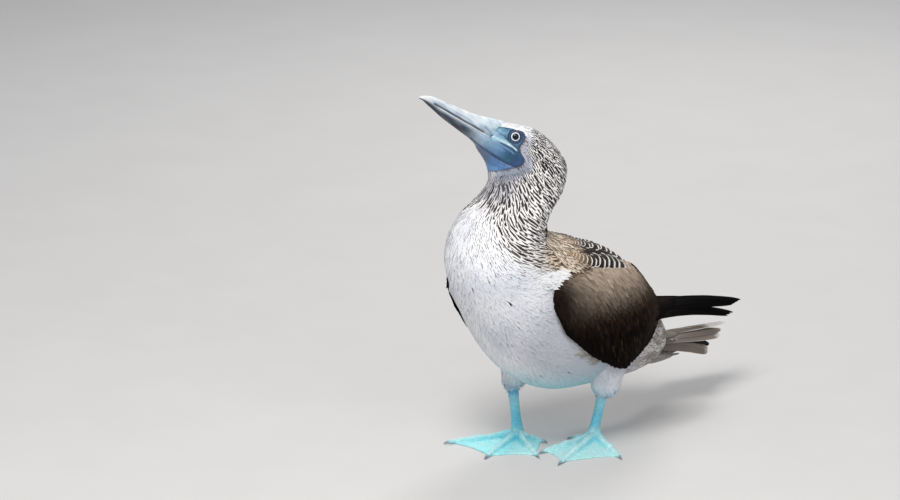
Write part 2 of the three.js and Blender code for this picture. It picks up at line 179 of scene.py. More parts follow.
def face_plane(p):
    """where a point of the head shows on its side plane, the same on both sides"""
    a, b, w = head_axes(p)
    k = np.abs(w) - 17
    return a - 0.38 * k, b - 0.123 * k


# bare skin of the face, in the side plane
FACE = np.array([[24.9, 1.1], [17.2, 4.0], [10.7, 5.8], [4.5, 6.6], [-1, 8.4], [-5.6, 7], [-9.5, 4.4], [-10.8, -0.4],
                 [-10.3, -5.2], [-9.7, -9.1], [-12.1, -12.5], [-15.6, -14.4], [-19, -16.3], [-21.8, -18.6],
                 [-23.1, -22.5], [-22.1, -26.6], [-19.3, -29.9], [-14, -33.8], [-10.2, -37.1], [-4.1, -41.2],
                 [2.4, -44.6], [8.8, -48.2], [20, -60], [80, -60], [80, 22], [27, 22], [26.5, 6]])


def line_dist(x, y, pts, closed=False):
    """distance to a bent line, and the share along it of the nearest point"""
    pts = np.asarray(pts, float)
    if closed:
        pts = np.vstack([pts, pts[:1]])
    best, where = np.full(x.shape, 1e9), np.zeros(x.shape)
    n = len(pts) - 1
    for i in range(n):
        ax, ay = pts[i]
        dx, dy = pts[i + 1] - pts[i]
        u = np.clip(((x - ax) * dx + (y - ay) * dy) / (dx * dx + dy * dy), 0, 1)
        d = np.hypot(x - ax - u * dx, y - ay - u * dy)
        where = np.where(d < best, (i + u) / n, where)
        best = np.minimum(best, d)
    return best, where


def face_depth(p):
    """distance outside (+) or inside (-) the bare face's edge"""
    am, bm = face_plane(p)
    d, _ = line_dist(am, bm, FACE, True)
    inside = np.zeros(am.shape, bool)
    q = np.vstack([FACE, FACE[:1]])
    for i in range(len(FACE)):
        (x0, y0), (x1, y1) = q[i], q[i + 1]
        hit = ((y0 > bm) != (y1 > bm)) & (am < (x1 - x0) * (bm - y0) / (y1 - y0 + 1e-12) + x0)
        inside ^= hit
    return np.where(inside, -d, d)


# ------------------------------------------------------------------ meshes from arrays
def make_mesh(name, verts, faces, mats, uv=None, vane=None, colors=None, sharp=50, face_mat=None):
    """faces: a list of (n, k) index arrays; uv, vane: per vertex (n, 2); colors: {name: (n, 3 or 4)}"""
    me = bpy.data.meshes.new(name)
    verts = row(verts)
    faces = [np.asarray(f, np.int64) for f in faces if len(f)]
    loops = np.concatenate([f.ravel() for f in faces])
    sizes = np.concatenate([np.full(len(f), f.shape[1]) for f in faces])
    starts = np.concatenate([[0], np.cumsum(sizes)[:-1]])
    me.vertices.add(len(verts))
    me.vertices.foreach_set("co", verts.astype(np.float32).ravel())
    me.loops.add(len(loops))
    me.loops.foreach_set("vertex_index", loops.astype(np.int32))
    me.polygons.add(len(sizes))
    me.polygons.foreach_set("loop_start", starts.astype(np.int32))
    me.polygons.foreach_set("loop_total", sizes.astype(np.int32))
    me.update(calc_edges=True)
    for key, val in (("OFBake", uv), ("Vane", vane)):
        if val is not None:
            layer = me.uv_layers.new(name=key)
            layer.data.foreach_set("uv", np.asarray(val)[loops].astype(np.float32).ravel())
    for key, val in (colors or {}).items():
        att = me.color_attributes.new(name=key, type="FLOAT_COLOR", domain="POINT")
        val = np.asarray(val, float)
        if val.shape[1] == 3:
            val = np.hstack([val, np.ones((len(val), 1))])
        att.data.foreach_set("color", val.astype(np.float32).ravel())
    for m in mats:
        me.materials.append(m)
    if face_mat is not None:
        me.polygons.foreach_set("material_index", np.asarray(face_mat, np.int32))
    me.polygons.foreach_set("use_smooth", np.ones(len(sizes), bool))
    me.validate()
    if sharp:
        me.set_sharp_from_angle(angle=math.radians(sharp))
    ob = bpy.data.objects.new(name, me)
    bpy.context.scene.collection.objects.link(ob)
    return ob


def grid_faces(nu, nv, wrap=True):
    """quads over nu rings of nv points, turned so that a left-to-right ring order faces outward"""
    i, j = np.meshgrid(np.arange(nu - 1), np.arange(nv if wrap else nv - 1), indexing="ij")
    a = i * nv + j
    b = i * nv + (j + 1) % nv
    return np.stack([a, b, b + nv, a + nv], -1).reshape(-1, 4)


def loft(rings):
    """closed shell over rings (n, m, 3): vertices and faces, outward whichever way the rings run"""
    n, m = rings.shape[:2]
    v = np.vstack([rings.reshape(-1, 3), rings[0].mean(0)[None], rings[-1].mean(0)[None]])
    quads = grid_faces(n, m)
    j = np.arange(m)
    c0, c1 = n * m, n * m + 1
    cap0 = np.stack([np.full(m, c0), (j + 1) % m, j], -1)
    cap1 = np.stack([np.full(m, c1), (n - 1) * m + j, (n - 1) * m + (j + 1) % m], -1)
    tri = np.vstack([cap0, cap1])
    t = np.vstack([quads[:, [0, 1, 2]], quads[:, [0, 2, 3]], tri])
    vol = np.einsum("ij,ij->i", v[t[:, 0]], np.cross(v[t[:, 1]], v[t[:, 2]])).sum()
    if vol < 0:
        quads, tri = quads[:, ::-1], tri[:, ::-1]
    return v, [quads, tri]


def plain(name, v, f):
    return make_mesh(name, v, f, [], sharp=0)


def tube(points, sizes, n=24, steps=40, ref=None):
    """a round bar along a smooth path: half sizes sideways and upright at each point"""
    P = np.array(points, float)
    S = np.array(sizes, float)
    t = np.linspace(0, len(P) - 1, steps)
    p, s = read(P, t), read(S, t)
    d = unit(np.gradient(p, axis=0))
    if ref is None:
        ref = np.array([0, 1, 0.0]) if abs(unit(P[-1] - P[0])[2]) > 0.8 else np.array([0, 0, 1.0])
    side = unit(np.cross(d, ref))
    up = np.cross(side, d)
    q = np.linspace(0, 2 * np.pi, n, endpoint=False)
    return (p[:, None] + side[:, None] * (s[:, 0, None] * np.cos(q))[..., None]
            + up[:, None] * (s[:, 1, None] * np.sin(q))[..., None])


def at(left, fwd, up):
    return np.array([left, -fwd, up], float)


# ------------------------------------------------------------------ materials
def new_mat(name):
    m = bpy.data.materials.new(name)
    m.use_nodes = True
    nt = m.node_tree
    b = nt.nodes["Principled BSDF"]
    return m, nt, b


def node(nt, kind, **kw):
    n = nt.nodes.new(kind)
    for k, v in kw.items():
        setattr(n, k, v)
    return n


def math_node(nt, op, a, b=None, c=None, clamp=False):
    n = node(nt, "ShaderNodeMath", operation=op, use_clamp=clamp)
    for i, v in enumerate((a, b, c)):
        if v is None:
            continue
        if isinstance(v, (int, float)):
            n.inputs[i].default_value = v
        else:
            nt.links.new(v, n.inputs[i])
    return n.outputs[0]


def mix_rgb(nt, fac, a, b, mode="MIX"):
    n = node(nt, "ShaderNodeMix", data_type="RGBA", blend_type=mode)
    for i, v in ((0, fac), (6, a), (7, b)):
        if isinstance(v, (int, float)):
            n.inputs[i].default_value = v
        elif isinstance(v, tuple):
            n.inputs[i].default_value = (*v, 1)
        else:
            nt.links.new(v, n.inputs[i])
    return n.outputs[2]


def noise_node(nt, scale, detail=3, vec=None, rough=0.55, stretch=None):
    t = node(nt, "ShaderNodeTexNoise")
    t.inputs["Scale"].default_value = scale
    t.inputs["Detail"].default_value = detail
    t.inputs["Roughness"].default_value = rough
    if vec is None:
        vec = node(nt, "ShaderNodeTexCoord").outputs["Object"]
    if stretch:
        mp = node(nt, "ShaderNodeMapping")
        mp.inputs["Scale"].default_value = stretch
        nt.links.new(vec, mp.inputs["Vector"])
        vec = mp.outputs["Vector"]
    nt.links.new(vec, t.inputs["Vector"])
    return t.outputs["Fac"]


def feather_material(name, rough=0.62, sheen=0.25, spec=0.3, barbs=26, bump=0.5, grain=0.22):
    """vanes: a base tint, a dark streak along the shaft, a fringe at the tip, fine barbs and a shaft"""
    m, nt, b = new_mat(name)
    attr = {}
    for key in ("Tint", "Mark", "Edge", "Pat"):
        attr[key] = node(nt, "ShaderNodeVertexColor", layer_name=key).outputs["Color"]
    uv = node(nt, "ShaderNodeUVMap", uv_map="Vane").outputs["UV"]
    sep = node(nt, "ShaderNodeSeparateXYZ")
    nt.links.new(uv, sep.inputs[0])
    q, s = sep.outputs[0], sep.outputs[1]
    pat = node(nt, "ShaderNodeSeparateColor")
    nt.links.new(attr["Pat"], pat.inputs[0])
    across = math_node(nt, "ABSOLUTE", math_node(nt, "SUBTRACT", math_node(nt, "MULTIPLY", q, 2.0), 1.0))
    obj = node(nt, "ShaderNodeTexCoord").outputs["Object"]
    ragged = noise_node(nt, 900, 2, obj)
    rag = math_node(nt, "MULTIPLY", math_node(nt, "SUBTRACT", ragged, 0.5), 0.55)
    # streak
    wide = math_node(nt, "SUBTRACT", math_node(nt, "ADD", pat.outputs[0], rag), across)
    streak = math_node(nt, "MULTIPLY", wide, 7.0, clamp=True)
    live = math_node(nt, "GREATER_THAN", pat.outputs[0], 0.02)
    end = math_node(nt, "MULTIPLY", math_node(nt, "SUBTRACT", pat.outputs[1], s), 9.0, clamp=True)
    streak = math_node(nt, "MULTIPLY", math_node(nt, "MULTIPLY", streak, end), live)
    # fringe
    tip = math_node(nt, "ADD", s, math_node(nt, "MULTIPLY", math_node(nt, "POWER", across, 2.0), 0.0))
    f1 = math_node(nt, "SUBTRACT", math_node(nt, "ADD", tip, math_node(nt, "MULTIPLY", rag, 0.2)),
                   math_node(nt, "SUBTRACT", 1.0, pat.outputs[2]))
    f1 = math_node(nt, "MULTIPLY", f1, 14.0, clamp=True)
    f2 = math_node(nt, "SUBTRACT", math_node(nt, "ADD", across, math_node(nt, "MULTIPLY", rag, 0.4)),
                   math_node(nt, "SUBTRACT", 1.0, math_node(nt, "MULTIPLY", pat.outputs[2], 1.1)))
    f2 = math_node(nt, "MULTIPLY", f2, 7.0, clamp=True)
    f2 = math_node(nt, "MULTIPLY", f2, math_node(nt, "MULTIPLY", math_node(nt, "SUBTRACT", s, 0.45), 5.0, clamp=True))
    fl = math_node(nt, "GREATER_THAN", pat.outputs[2], 0.01)
    fringe = math_node(nt, "MULTIPLY", math_node(nt, "MAXIMUM", f1, f2), fl)
    col = mix_rgb(nt, streak, attr["Tint"], attr["Mark"])
    col = mix_rgb(nt, fringe, col, attr["Edge"])
    # barbs slant off the shaft toward the tip
    phase = math_node(nt, "MULTIPLY", math_node(nt, "SUBTRACT", s, math_node(nt, "MULTIPLY", across, 0.22)), barbs * 6.283)
    wave = math_node(nt, "SINE", math_node(nt, "ADD", phase, math_node(nt, "MULTIPLY", rag, 5.0)))
    n1 = noise_node(nt, 420, 3, obj)
    dark = math_node(nt, "MULTIPLY_ADD", n1, grain * 2, 1.0 - grain)
    dark = math_node(nt, "MULTIPLY", dark, math_node(nt, "MULTIPLY_ADD", wave, grain * 0.22, 1.0))
    shade = node(nt, "ShaderNodeCombineColor")
    for i in range(3):
        nt.links.new(dark, shade.inputs[i])
    col = mix_rgb(nt, 1.0, col, shade.outputs[0], "MULTIPLY")
    nt.links.new(col, b.inputs["Base Color"])
    bp = node(nt, "ShaderNodeBump")
    bp.inputs["Strength"].default_value = bump
    bp.inputs["Distance"].default_value = 0.0003
    hgt = math_node(nt, "MULTIPLY_ADD", wave, 0.3, math_node(nt, "MULTIPLY", n1, 0.8))
    nt.links.new(hgt, bp.inputs["Height"])
    nt.links.new(bp.outputs[0], b.inputs["Normal"])
    b.inputs["Roughness"].default_value = rough
    b.inputs["Specular IOR Level"].default_value = spec
    b.inputs["Sheen Weight"].default_value = sheen
    b.inputs["Sheen Roughness"].default_value = 0.45
    return m


def skin_material():
    """one material for all bare and hidden skin: tint by place, scales, creases and fine pores"""
    m, nt, b = new_mat("skin_blue")
    tint = node(nt, "ShaderNodeVertexColor", layer_name="Tint").outputs["Color"]
    rough = node(nt, "ShaderNodeSeparateColor")
    nt.links.new(node(nt, "ShaderNodeVertexColor", layer_name="Pat").outputs["Color"], rough.inputs[0])
    obj = node(nt, "ShaderNodeTexCoord").outputs["Object"]
    n1, n2 = noise_node(nt, 260, 4, obj), noise_node(nt, 1300, 3, obj)
    vo = node(nt, "ShaderNodeTexVoronoi", feature="DISTANCE_TO_EDGE")
    vo.inputs["Scale"].default_value = 520
    nt.links.new(obj, vo.inputs["Vector"])
    edge = math_node(nt, "MULTIPLY", vo.outputs["Distance"], 3.2, clamp=True)
    scale_on = rough.outputs[1]
    # the lines between the scales are a little deeper in colour
    line = math_node(nt, "SUBTRACT", 1.0, math_node(nt, "MULTIPLY", math_node(nt, "SUBTRACT", 1.0, edge),
                                                     math_node(nt, "MULTIPLY", scale_on, 0.30)))
    tone = math_node(nt, "MULTIPLY", line, math_node(nt, "MULTIPLY_ADD", n1, 0.34, 0.83))
    c = node(nt, "ShaderNodeCombineColor")
    for i in range(3):
        nt.links.new(tone, c.inputs[i])
    col = mix_rgb(nt, 1.0, tint, c.outputs[0], "MULTIPLY")
    nt.links.new(col, b.inputs["Base Color"])
    hgt = math_node(nt, "ADD", math_node(nt, "MULTIPLY", math_node(nt, "MULTIPLY", edge, scale_on), 0.7),
                    math_node(nt, "ADD", math_node(nt, "MULTIPLY", n1, 0.6), math_node(nt, "MULTIPLY", n2, 0.25)))
    bp = node(nt, "ShaderNodeBump")
    bp.inputs["Strength"].default_value = 0.55
    bp.inputs["Distance"].default_value = 0.0005
    nt.links.new(hgt, bp.inputs["Height"])
    nt.links.new(bp.outputs[0], b.inputs["Normal"])
    nt.links.new(math_node(nt, "MULTIPLY_ADD", n1, 0.16, rough.outputs[0]), b.inputs["Roughness"])
    b.inputs["Specular IOR Level"].default_value = 0.4
    b.inputs["Subsurface Weight"].default_value = 0.0
    return m


def horn_material(name, rough=0.36, grain=(60, 900, 900)):
    m, nt, b = new_mat(name)
    tint = node(nt, "ShaderNodeVertexColor", layer_name="Tint").outputs["Color"]
    vane = node(nt, "ShaderNodeUVMap", uv_map="Vane").outputs["UV"]
    obj = node(nt, "ShaderNodeTexCoord").outputs["Object"]
    fibre = noise_node(nt, 1.0, 4, vane, 0.6, grain)
    n1 = noise_node(nt, 180, 3, obj)
    tone = math_node(nt, "MULTIPLY", math_node(nt, "MULTIPLY_ADD", fibre, 0.3, 0.85),
                     math_node(nt, "MULTIPLY_ADD", n1, 0.24, 0.88))
    c = node(nt, "ShaderNodeCombineColor")
    for i in range(3):
        nt.links.new(tone, c.inputs[i])
    nt.links.new(mix_rgb(nt, 1.0, tint, c.outputs[0], "MULTIPLY"), b.inputs["Base Color"])
    bp = node(nt, "ShaderNodeBump")
    bp.inputs["Strength"].default_value = 0.35
    bp.inputs["Distance"].default_value = 0.0003
    nt.links.new(math_node(nt, "ADD", fibre, n1), bp.inputs["Height"])
    nt.links.new(bp.outputs[0], b.inputs["Normal"])
    nt.links.new(math_node(nt, "MULTIPLY_ADD", fibre, 0.2, rough - 0.06), b.inputs["Roughness"])
    b.inputs["Specular IOR Level"].default_value = 0.5
    return m


# ------------------------------------------------------------------ colours of the bare parts
C_FACE = srgb(62, 96, 138)
C_NAVY = srgb(28, 44, 74)


def stroke(col, x, y, pts, wide, c, k, taper=0.5):
    """a soft line of colour, narrowing toward both ends"""
    d, u = line_dist(x, y, pts)
    w = wide * (1 - taper + taper * np.sin(np.pi * np.clip(u, 0.08, 0.92)))
    return mix(col, c, np.exp(-(d / w) ** 2) * k)


def face_color(p):
    """the bare face by its place on the side plane"""
    am, bm = face_plane(p)
    col = np.broadcast_to(C_FACE, p.shape).copy()
    # from the jaw forward it pales into the bill's grey
    col = mix(col, srgb(104, 138, 168), smooth(am, 2, 20) * smooth(bm, -33, -16))
    col = mix(col, srgb(136, 156, 176), smooth(am, 20, 44) * 0.9)
    # deep teal, then violet blue, at the lower rear
    col = mix(col, srgb(38, 76, 116), np.exp(-((am + 1) / 7.5) ** 2 - ((bm + 21.5) / 3.6) ** 2) * 0.85)
    col = mix(col, srgb(50, 70, 132), smooth(am, -4, -12) * smooth(bm, -15, -21) * 0.85)
    col = mix(col, srgb(92, 132, 170), np.exp(-((am - 8) / 7) ** 2 - ((bm + 19.5) / 3.0) ** 2) * 0.5)
    gain = smooth(am + 0.6 * (bm + 22), -8, 10)[..., None]
    col = col * lerp(np.array([0.62, 0.9, 0.66]), np.array([1.62, 1.5, 1.36]), gain)
    # round the eye: slate blue above, paler before it
    col = mix(col, srgb(88, 132, 162), smooth(bm, -9, -3) * smooth(am, -2, 6) * 0.9)
    col = mix(col, srgb(142, 180, 200), np.exp(-((am - 20) / 6) ** 2 - ((bm + 4.5) / 3.2) ** 2) * 0.9)
    col = stroke(col, am, bm, [(27, 0.4), (19.2, 2.8), (9.2, 3.2)], 1.0, C_NAVY, 0.75)
    col = stroke(col, am, bm, [(24, -3.6), (19.7, -5.2), (9.1, -5.9), (3, -8.4)], 0.8, srgb(44, 78, 112), 0.75)
    col = stroke(col, am, bm, [(21, -1.6), (14, -2.2), (9, -1.2)], 0.8, srgb(128, 172, 194), 0.6)
    col = stroke(col, am, bm, [(12, -6.0), (5, -8.6), (-3.1, -10.9), (-8.5, -11.6)], 1.0, srgb(30, 48, 82), 0.8)
    # throat skin below the jaw
    below = smooth(bm, -30.6, -33.0) * smooth(am, -19, -12)
    below = np.maximum(below, smooth(am, 4, 30) * smooth(bm, lerp(-30.6, -27.0, smooth(am, 4, 30)), -32.0))
    col = mix(col, srgb(84, 120, 166), below)
    col = mix(col, srgb(104, 148, 190), below * smooth(bm, -38, -45))
    col = mix(col, srgb(104, 112, 140), below * smooth(am, 12, 24) * smooth(bm, -46, -38))
    col = stroke(col, am, bm, [(46, -24.6), (29.9, -27.9), (16, -29.6), (4.7, -31.0), (-6, -32.2), (-15.1, -31.8)], 1.5, srgb(36, 52, 88), 0.85, 0.3)
    # rear edge
    d = -face_depth(p)
    col = mix(col, srgb(26, 40, 78), np.exp(-(np.clip(d - 0.5, 0, None) / 1.3) ** 2) * 0.75 * smooth(am, 10, -6) * smooth(bm, -46, -34))
    # the pale wedge of the gape narrows to the rear; folds lie below it
    for x0, y0, w0, x1, y1, w1 in ((22, -12.2, 3.0, 7.8, -10.6, 1.9), (7.8, -10.6, 1.9, -2, -12.1, 0.95), (-2, -12.1, 0.95, -9, -13.9, 0.5)):
        dd, u = line_dist(am, bm, [(x0, y0), (x1, y1)])
        w = lerp(w0, w1, u)
        col = mix(col, srgb(176, 212, 226), smooth(dd / w, 1.25, 0.6) * 0.9)
    col = stroke(col, am, bm, [(22, -10.0), (14, -9.6), (6, -9.6)], 0.7, srgb(112, 160, 178), 0.6)
    # painted highlight: the near-white line along the gape's raised ridge
    col = stroke(col, am, bm, [(17, -12.8), (7, -12.2), (-2, -12.3), (-8, -13.7)], 0.6, srgb(226, 240, 246), 0.9)
    # painted shade in the two fold grooves below (the dark lines), painted light on the ridge between them (the paler
    # line)
    col = stroke(col, am, bm, [(13, -14.6), (6, -14.4), (-3, -15.2), (-11, -16.4)], 0.75, srgb(28, 50, 86), 0.9)
    col = stroke(col, am, bm, [(10, -16.6), (4.6, -16.8), (-2.7, -17.4), (-8, -18.6)], 0.75, srgb(120, 158, 190), 0.65)
    col = stroke(col, am, bm, [(8, -18.8), (1, -19.0), (-6, -20.4)], 0.7, srgb(36, 60, 98), 0.6)
    # blotches and fine wrinkles
    blot = noise3(p, 5.5, 41) * 0.5 + noise3(p, 2.4, 42) * 0.5
    col = col * (1 + 0.12 * blot)[..., None]
    # rings round the eye
    rho = np.hypot(am - 0.6, bm + 0.6)
    col = mix(col, srgb(36, 54, 84), smooth(rho, 9.8, 8.2) * 0.85)
    col = mix(col, srgb(92, 126, 156), np.exp(-((rho - 7.2) / 0.5) ** 2) * 0.7)
    col = mix(col, srgb(18, 28, 50), np.exp(-((rho - 5.7) / 0.7) ** 2) * 0.95)
    col = mix(col, srgb(20, 30, 52), np.exp(-((rho - 8.3) / 0.9) ** 2) * smooth(bm, 1, 5) * 0.7)
    return col


LEGS = {"l": dict(toe=(28.5, -39.5), knee=(32, -47, 51)), "r": dict(toe=(-37, 21), knee=(-38, 27, 61))}
TOES = {"l": [(-32, 27), (-3, 80.5), (20.5, 99), (64, 75.3)], "r": [(100, 36), (62, 74), (20, 80), (-27, 80)]}


def toe_tip(side, i, d=None):
    x, f = LEGS[side]["toe"]
    deg, ln = TOES[side][i]
    d = ln if d is None else d
    return x + math.sin(math.radians(deg)) * d, f + math.cos(math.radians(deg)) * d


C_FOOT = srgb(168, 250, 255)


def foot_color(p):
    """turquoise of shanks, toes and webs"""
    z = p[..., 2]
    X, F = p[..., 0], -p[..., 1]
    # the left, near foot is painted lighter: painted light that offsets the shade falling on it
    col = mix(np.broadcast_to(C_FOOT, p.shape).copy(), srgb(198, 255, 255), smooth(X, -5, 15))
    col = mix(col, srgb(136, 228, 252), smooth(z, 9, 18))
    col = mix(col, srgb(172, 240, 255), smooth(z, 26, 44) * 0.9)
    col = mix(col, srgb(76, 172, 224), smooth(z, 47, 60) * 0.8)
    ridge = np.zeros(z.shape)
    heel = np.full(z.shape, 1e9)
    for side in "lr":
        x0, f0 = LEGS[side]["toe"]
        heel = np.minimum(heel, np.hypot(X - x0, F - f0))
        for i in range(4):
            x1, f1 = toe_tip(side, i)
            d, u = line_dist(X, F, [(x0, f0), (x1, f1)])
            ridge = np.maximum(ridge, np.exp(-(d / 2.6) ** 2) * smooth(u, 0.12, 0.3))
            col = mix(col, srgb(104, 226, 248), np.exp(-((d - 5.2) / 2.2) ** 2) * smooth(u, 0.95, 0.2) * smooth(z, 9, 5) * 0.6)
    col = mix(col, srgb(80, 226, 255), np.exp(-(heel / 17) ** 2) * smooth(z, 14, 6) * 0.6)
    col = mix(col, srgb(214, 250, 254), ridge * smooth(z, 12, 6) * 0.6)
    blot = noise3(p, 22, 31)
    col = mix(col, srgb(214, 250, 254), np.clip(blot, 0, 1) * 0.5 * smooth(z, 20, 8))
    return col


# ------------------------------------------------------------------ the coat's markings, shared by skin and feathers
W_WHITE = srgb(248, 249, 252)
W_SHADE = srgb(212, 216, 228)
W_CREAM = srgb(250, 246, 242)
W_DARK = srgb(30, 24, 24)
W_BUFF = srgb(176, 146, 116)
W_BROWN = srgb(74, 56, 44)
W_BLACK = srgb(9, 6, 5)


def folded(ang):
    """angle from the side toward the back (+90) or belly (-90), the same left and right"""
    a = np.mod(np.asarray(ang, float) + 90, 360) - 90
    return np.where(a > 90, 180 - a, a)


def streak_line(t):
    """the fold angle above which the neck's streaks are full"""
    return np.interp(t, [7.6, 8.2, 8.6, 9.2, 9.75, 10.0, 10.4, 10.85, 11.4, 12.2, 13.0, 13.6, 14.2],
                     [34, 28, 24, 16, 4, -4, -12, -22, -38, -48, -74, -96, -130])


def streaked(t, fa, fd, am):
    """share of the dark streaking at a place, 0 to 1"""
    k = smooth(fa - streak_line(t), -13, 10) * smooth(t, 7.4, 8.3)
    return k * smooth(fd, 3.5, 8.0) * np.where(t > 15.5, smooth(am, -2, -15), 1)


def mantled(t, fa):
    """share of the buff and brown mantle"""
    return smooth(t, 10.7, 9.3) * smooth(fa, 8, 26) * smooth(t, 2.2, 3.2)


def coat_style(t, ang, p):
    """base tint, streak and fringe colours, and (streak width, streak end, fringe width) of a feather"""
    t = np.asarray(t, float)
    n = t.shape
    fa = folded(ang)
    am, bm = face_plane(p)
    fd = np.where(t > 13, face_depth(p), 99.0)
    big, mid = noise3(p, 70, 11), noise3(p, 22, 12)
    jit = RNG.random(n)
    tint = mix(np.broadcast_to(W_WHITE, n + (3,)).copy(), W_SHADE, np.clip(0.10 + 0.34 * big + 0.26 * mid + 0.16 * (jit - 0.5), 0, 1) * 0.8)
    # painted reflection: the low belly is tinted with the feet's blue, as light thrown up from them
    low = smooth(p[..., 2], 128, 64) * smooth(t, 3.8, 5.4)
    tint = mix(tint, srgb(160, 212, 222), low * 0.95)
    # painted shade: lilac grey on the lower breast's sides, between belly and wing
    tint = mix(tint, srgb(178, 180, 192), smooth(t, 9.2, 7.8) * smooth(fa, -78, -36) * smooth(fa, 24, -6) * 0.62)
    # painted shade: a faint blue-lilac band across the fore breast
    tint = mix(tint, srgb(180, 192, 214), np.exp(-((t - 9.95) / 0.5) ** 2) * smooth(fa, 4, -20) * lerp(1, 0.5, smooth(fa, -45, -75)) * 0.25)
    mark = np.broadcast_to(W_DARK, n + (3,)).copy()
    edge = np.broadcast_to(srgb(244, 240, 234), n + (3,)).copy()
    end, fringe = np.full(n, 0.9), np.zeros(n)
    # streaked head and neck
    k = streaked(t, fa, fd, am)
    throat = smooth(t, 13.4, 14.4) * smooth(fa, -20, -55)
    tint = mix(tint, W_CREAM, k * 0.8)
    tint = mix(tint, srgb(182, 182, 190), throat * 0.7)
    tint = mix(tint, srgb(172, 173, 188), smooth(fd, 10, 2.5) * smooth(am, 6, -5) * smooth(bm, 9, 1) * 0.9)     # lilac grey behind the face
    tint = mix(tint, srgb(138, 146, 160), smooth(fd, 9, 2.5) * smooth(bm, -14, -24) * smooth(am, 6, -5) * 0.8)
    tint = mix(tint, srgb(236, 238, 238), smooth(am, 2, 10) * smooth(bm, -1, 4) * smooth(t, 15, 16.5))
    tint = mix(tint, srgb(196, 176, 154), k * smooth(t, 11.2, 9.2) * smooth(fa, -8, 26) * 0.8)
    mark = mix(mark, srgb(56, 50, 50), smooth(t, 16.5, 14.5))
    mark = mix(mark, srgb(86, 82, 90), throat * 0.7)
    mark = mix(mark, srgb(84, 70, 60), smooth(t, 12.2, 9.8) * 0.8)
    width = k * lerp(0.40, 0.80, jit ** 1.15) * lerp(1, 0.85, smooth(t, 11.6, 9.6))
    width = width * (1 + 0.05 * throat + 0.14 * smooth(t, 13.5, 15) * smooth(am, -4, -16))
    # a few grey-brown flecks before the streaks start
    fleck = (smooth(fa - streak_line(t), -52, -12) + 0.5 * smooth(t, 9.7, 11.2)) * (1 - k) * smooth(t, 8.9, 10.6) * smooth(fd, 3, 7) * np.where(t > 15.5, 0, 1)
    on = RNG.random(n) < fleck * 0.65
    width = np.where(on & (width < 0.2), lerp(0.22, 0.42, jit), width)
    mark = mix(mark, mix(np.broadcast_to(srgb(150, 140, 146), n + (3,)).copy(), srgb(206, 204, 212), smooth(fleck, 0.45, 0.1)), on * 0.85 * (1 - k))
    # finest grey flecks in the pale band behind the face
    near = smooth(fd, 0.6, 2.5) * smooth(fd, 9.5, 6.5) * (RNG.random(n) < lerp(0.5, 0.95, smooth(bm, -22, -30))) * smooth(am, 8, 0)
    width = np.maximum(width, near * 0.4)
    mark = mix(mark, srgb(92, 90, 104), near * (1 - k) * 0.9)
    end = np.where(k > 0.1, lerp(0.70, 0.95, RNG.random(n)), 0.85)
    # mantle: buff brown with pale fringes, darker rearward
    m = mantled(t, fa)
    fore = smooth(t, 6.6, 7.8)
    brown = mix(np.broadcast_to(srgb(228, 210, 188), n + (3,)).copy(), W_BROWN, 1 - fore)
    tint = mix(tint, brown, m)
    mark = mix(mark, srgb(112, 90, 72), m * fore)
    width = width * (1 - m) + m * fore * lerp(0.30, 0.62, jit)
    fringe = m * (1 - fore) * lerp(0.12, 0.24, RNG.random(n))
    edge = mix(edge, srgb(226, 212, 190), m * 0.5 * smooth(t, 6.0, 8.0))
    # rump and tail coverts: white, mottled grey-brown
    r = smooth(t, 4.7, 3.2)
    mott = r * (RNG.random(n) < 0.6)
    tint = mix(tint, mix(np.broadcast_to(srgb(208, 204, 200), n + (3,)).copy(), srgb(150, 142, 134), smooth(mid + jit, 0.2, 1.0)), r)
    width = np.maximum(width, mott * lerp(0.4, 0.8, jit))
    mark = mix(mark, srgb(128, 118, 112), (mott > 0).astype(float))
    # buff-grey feathers where the wing's lower front edge meets the flank
    patch = np.zeros(n)
    for side in (1, -1):
        d = np.abs(p[..., 0] * side - 57) / 9
        c, _ = line_dist(-p[..., 1], p[..., 2], [(27, 122), (0, 104)])
        patch = np.maximum(patch, smooth(c + 5 * mid + 2 * (jit - 0.5), 8.0, 0.5) * (d < 1.6))
    tint = mix(tint, mix(np.broadcast_to(srgb(194, 186, 176), n + (3,)).copy(), srgb(92, 80, 70), RNG.random(n) ** 1.8), patch * 0.85)
    return tint, mark, edge, np.stack([np.clip(width, 0, 1), end, np.clip(fringe, 0, 1)], -1)


# ------------------------------------------------------------------ the skin
def coat_depth(t, ang, p):
    d = np.interp(t, [0, 2, 5, 10, 12.5, 14, 15.5, 16.5, 18, 20], [3.5, 5, 5.5, 6, 5, 4, 2.8, 2.2, 1.7, 1.4])
    if np.max(t) > 14:
        fd = np.where(t > 14, face_depth(p), 99.0)
        d = d * smooth(fd, -0.6, 3.2) + 0.12 * (1 - smooth(fd, -0.6, 3.2))
    return d


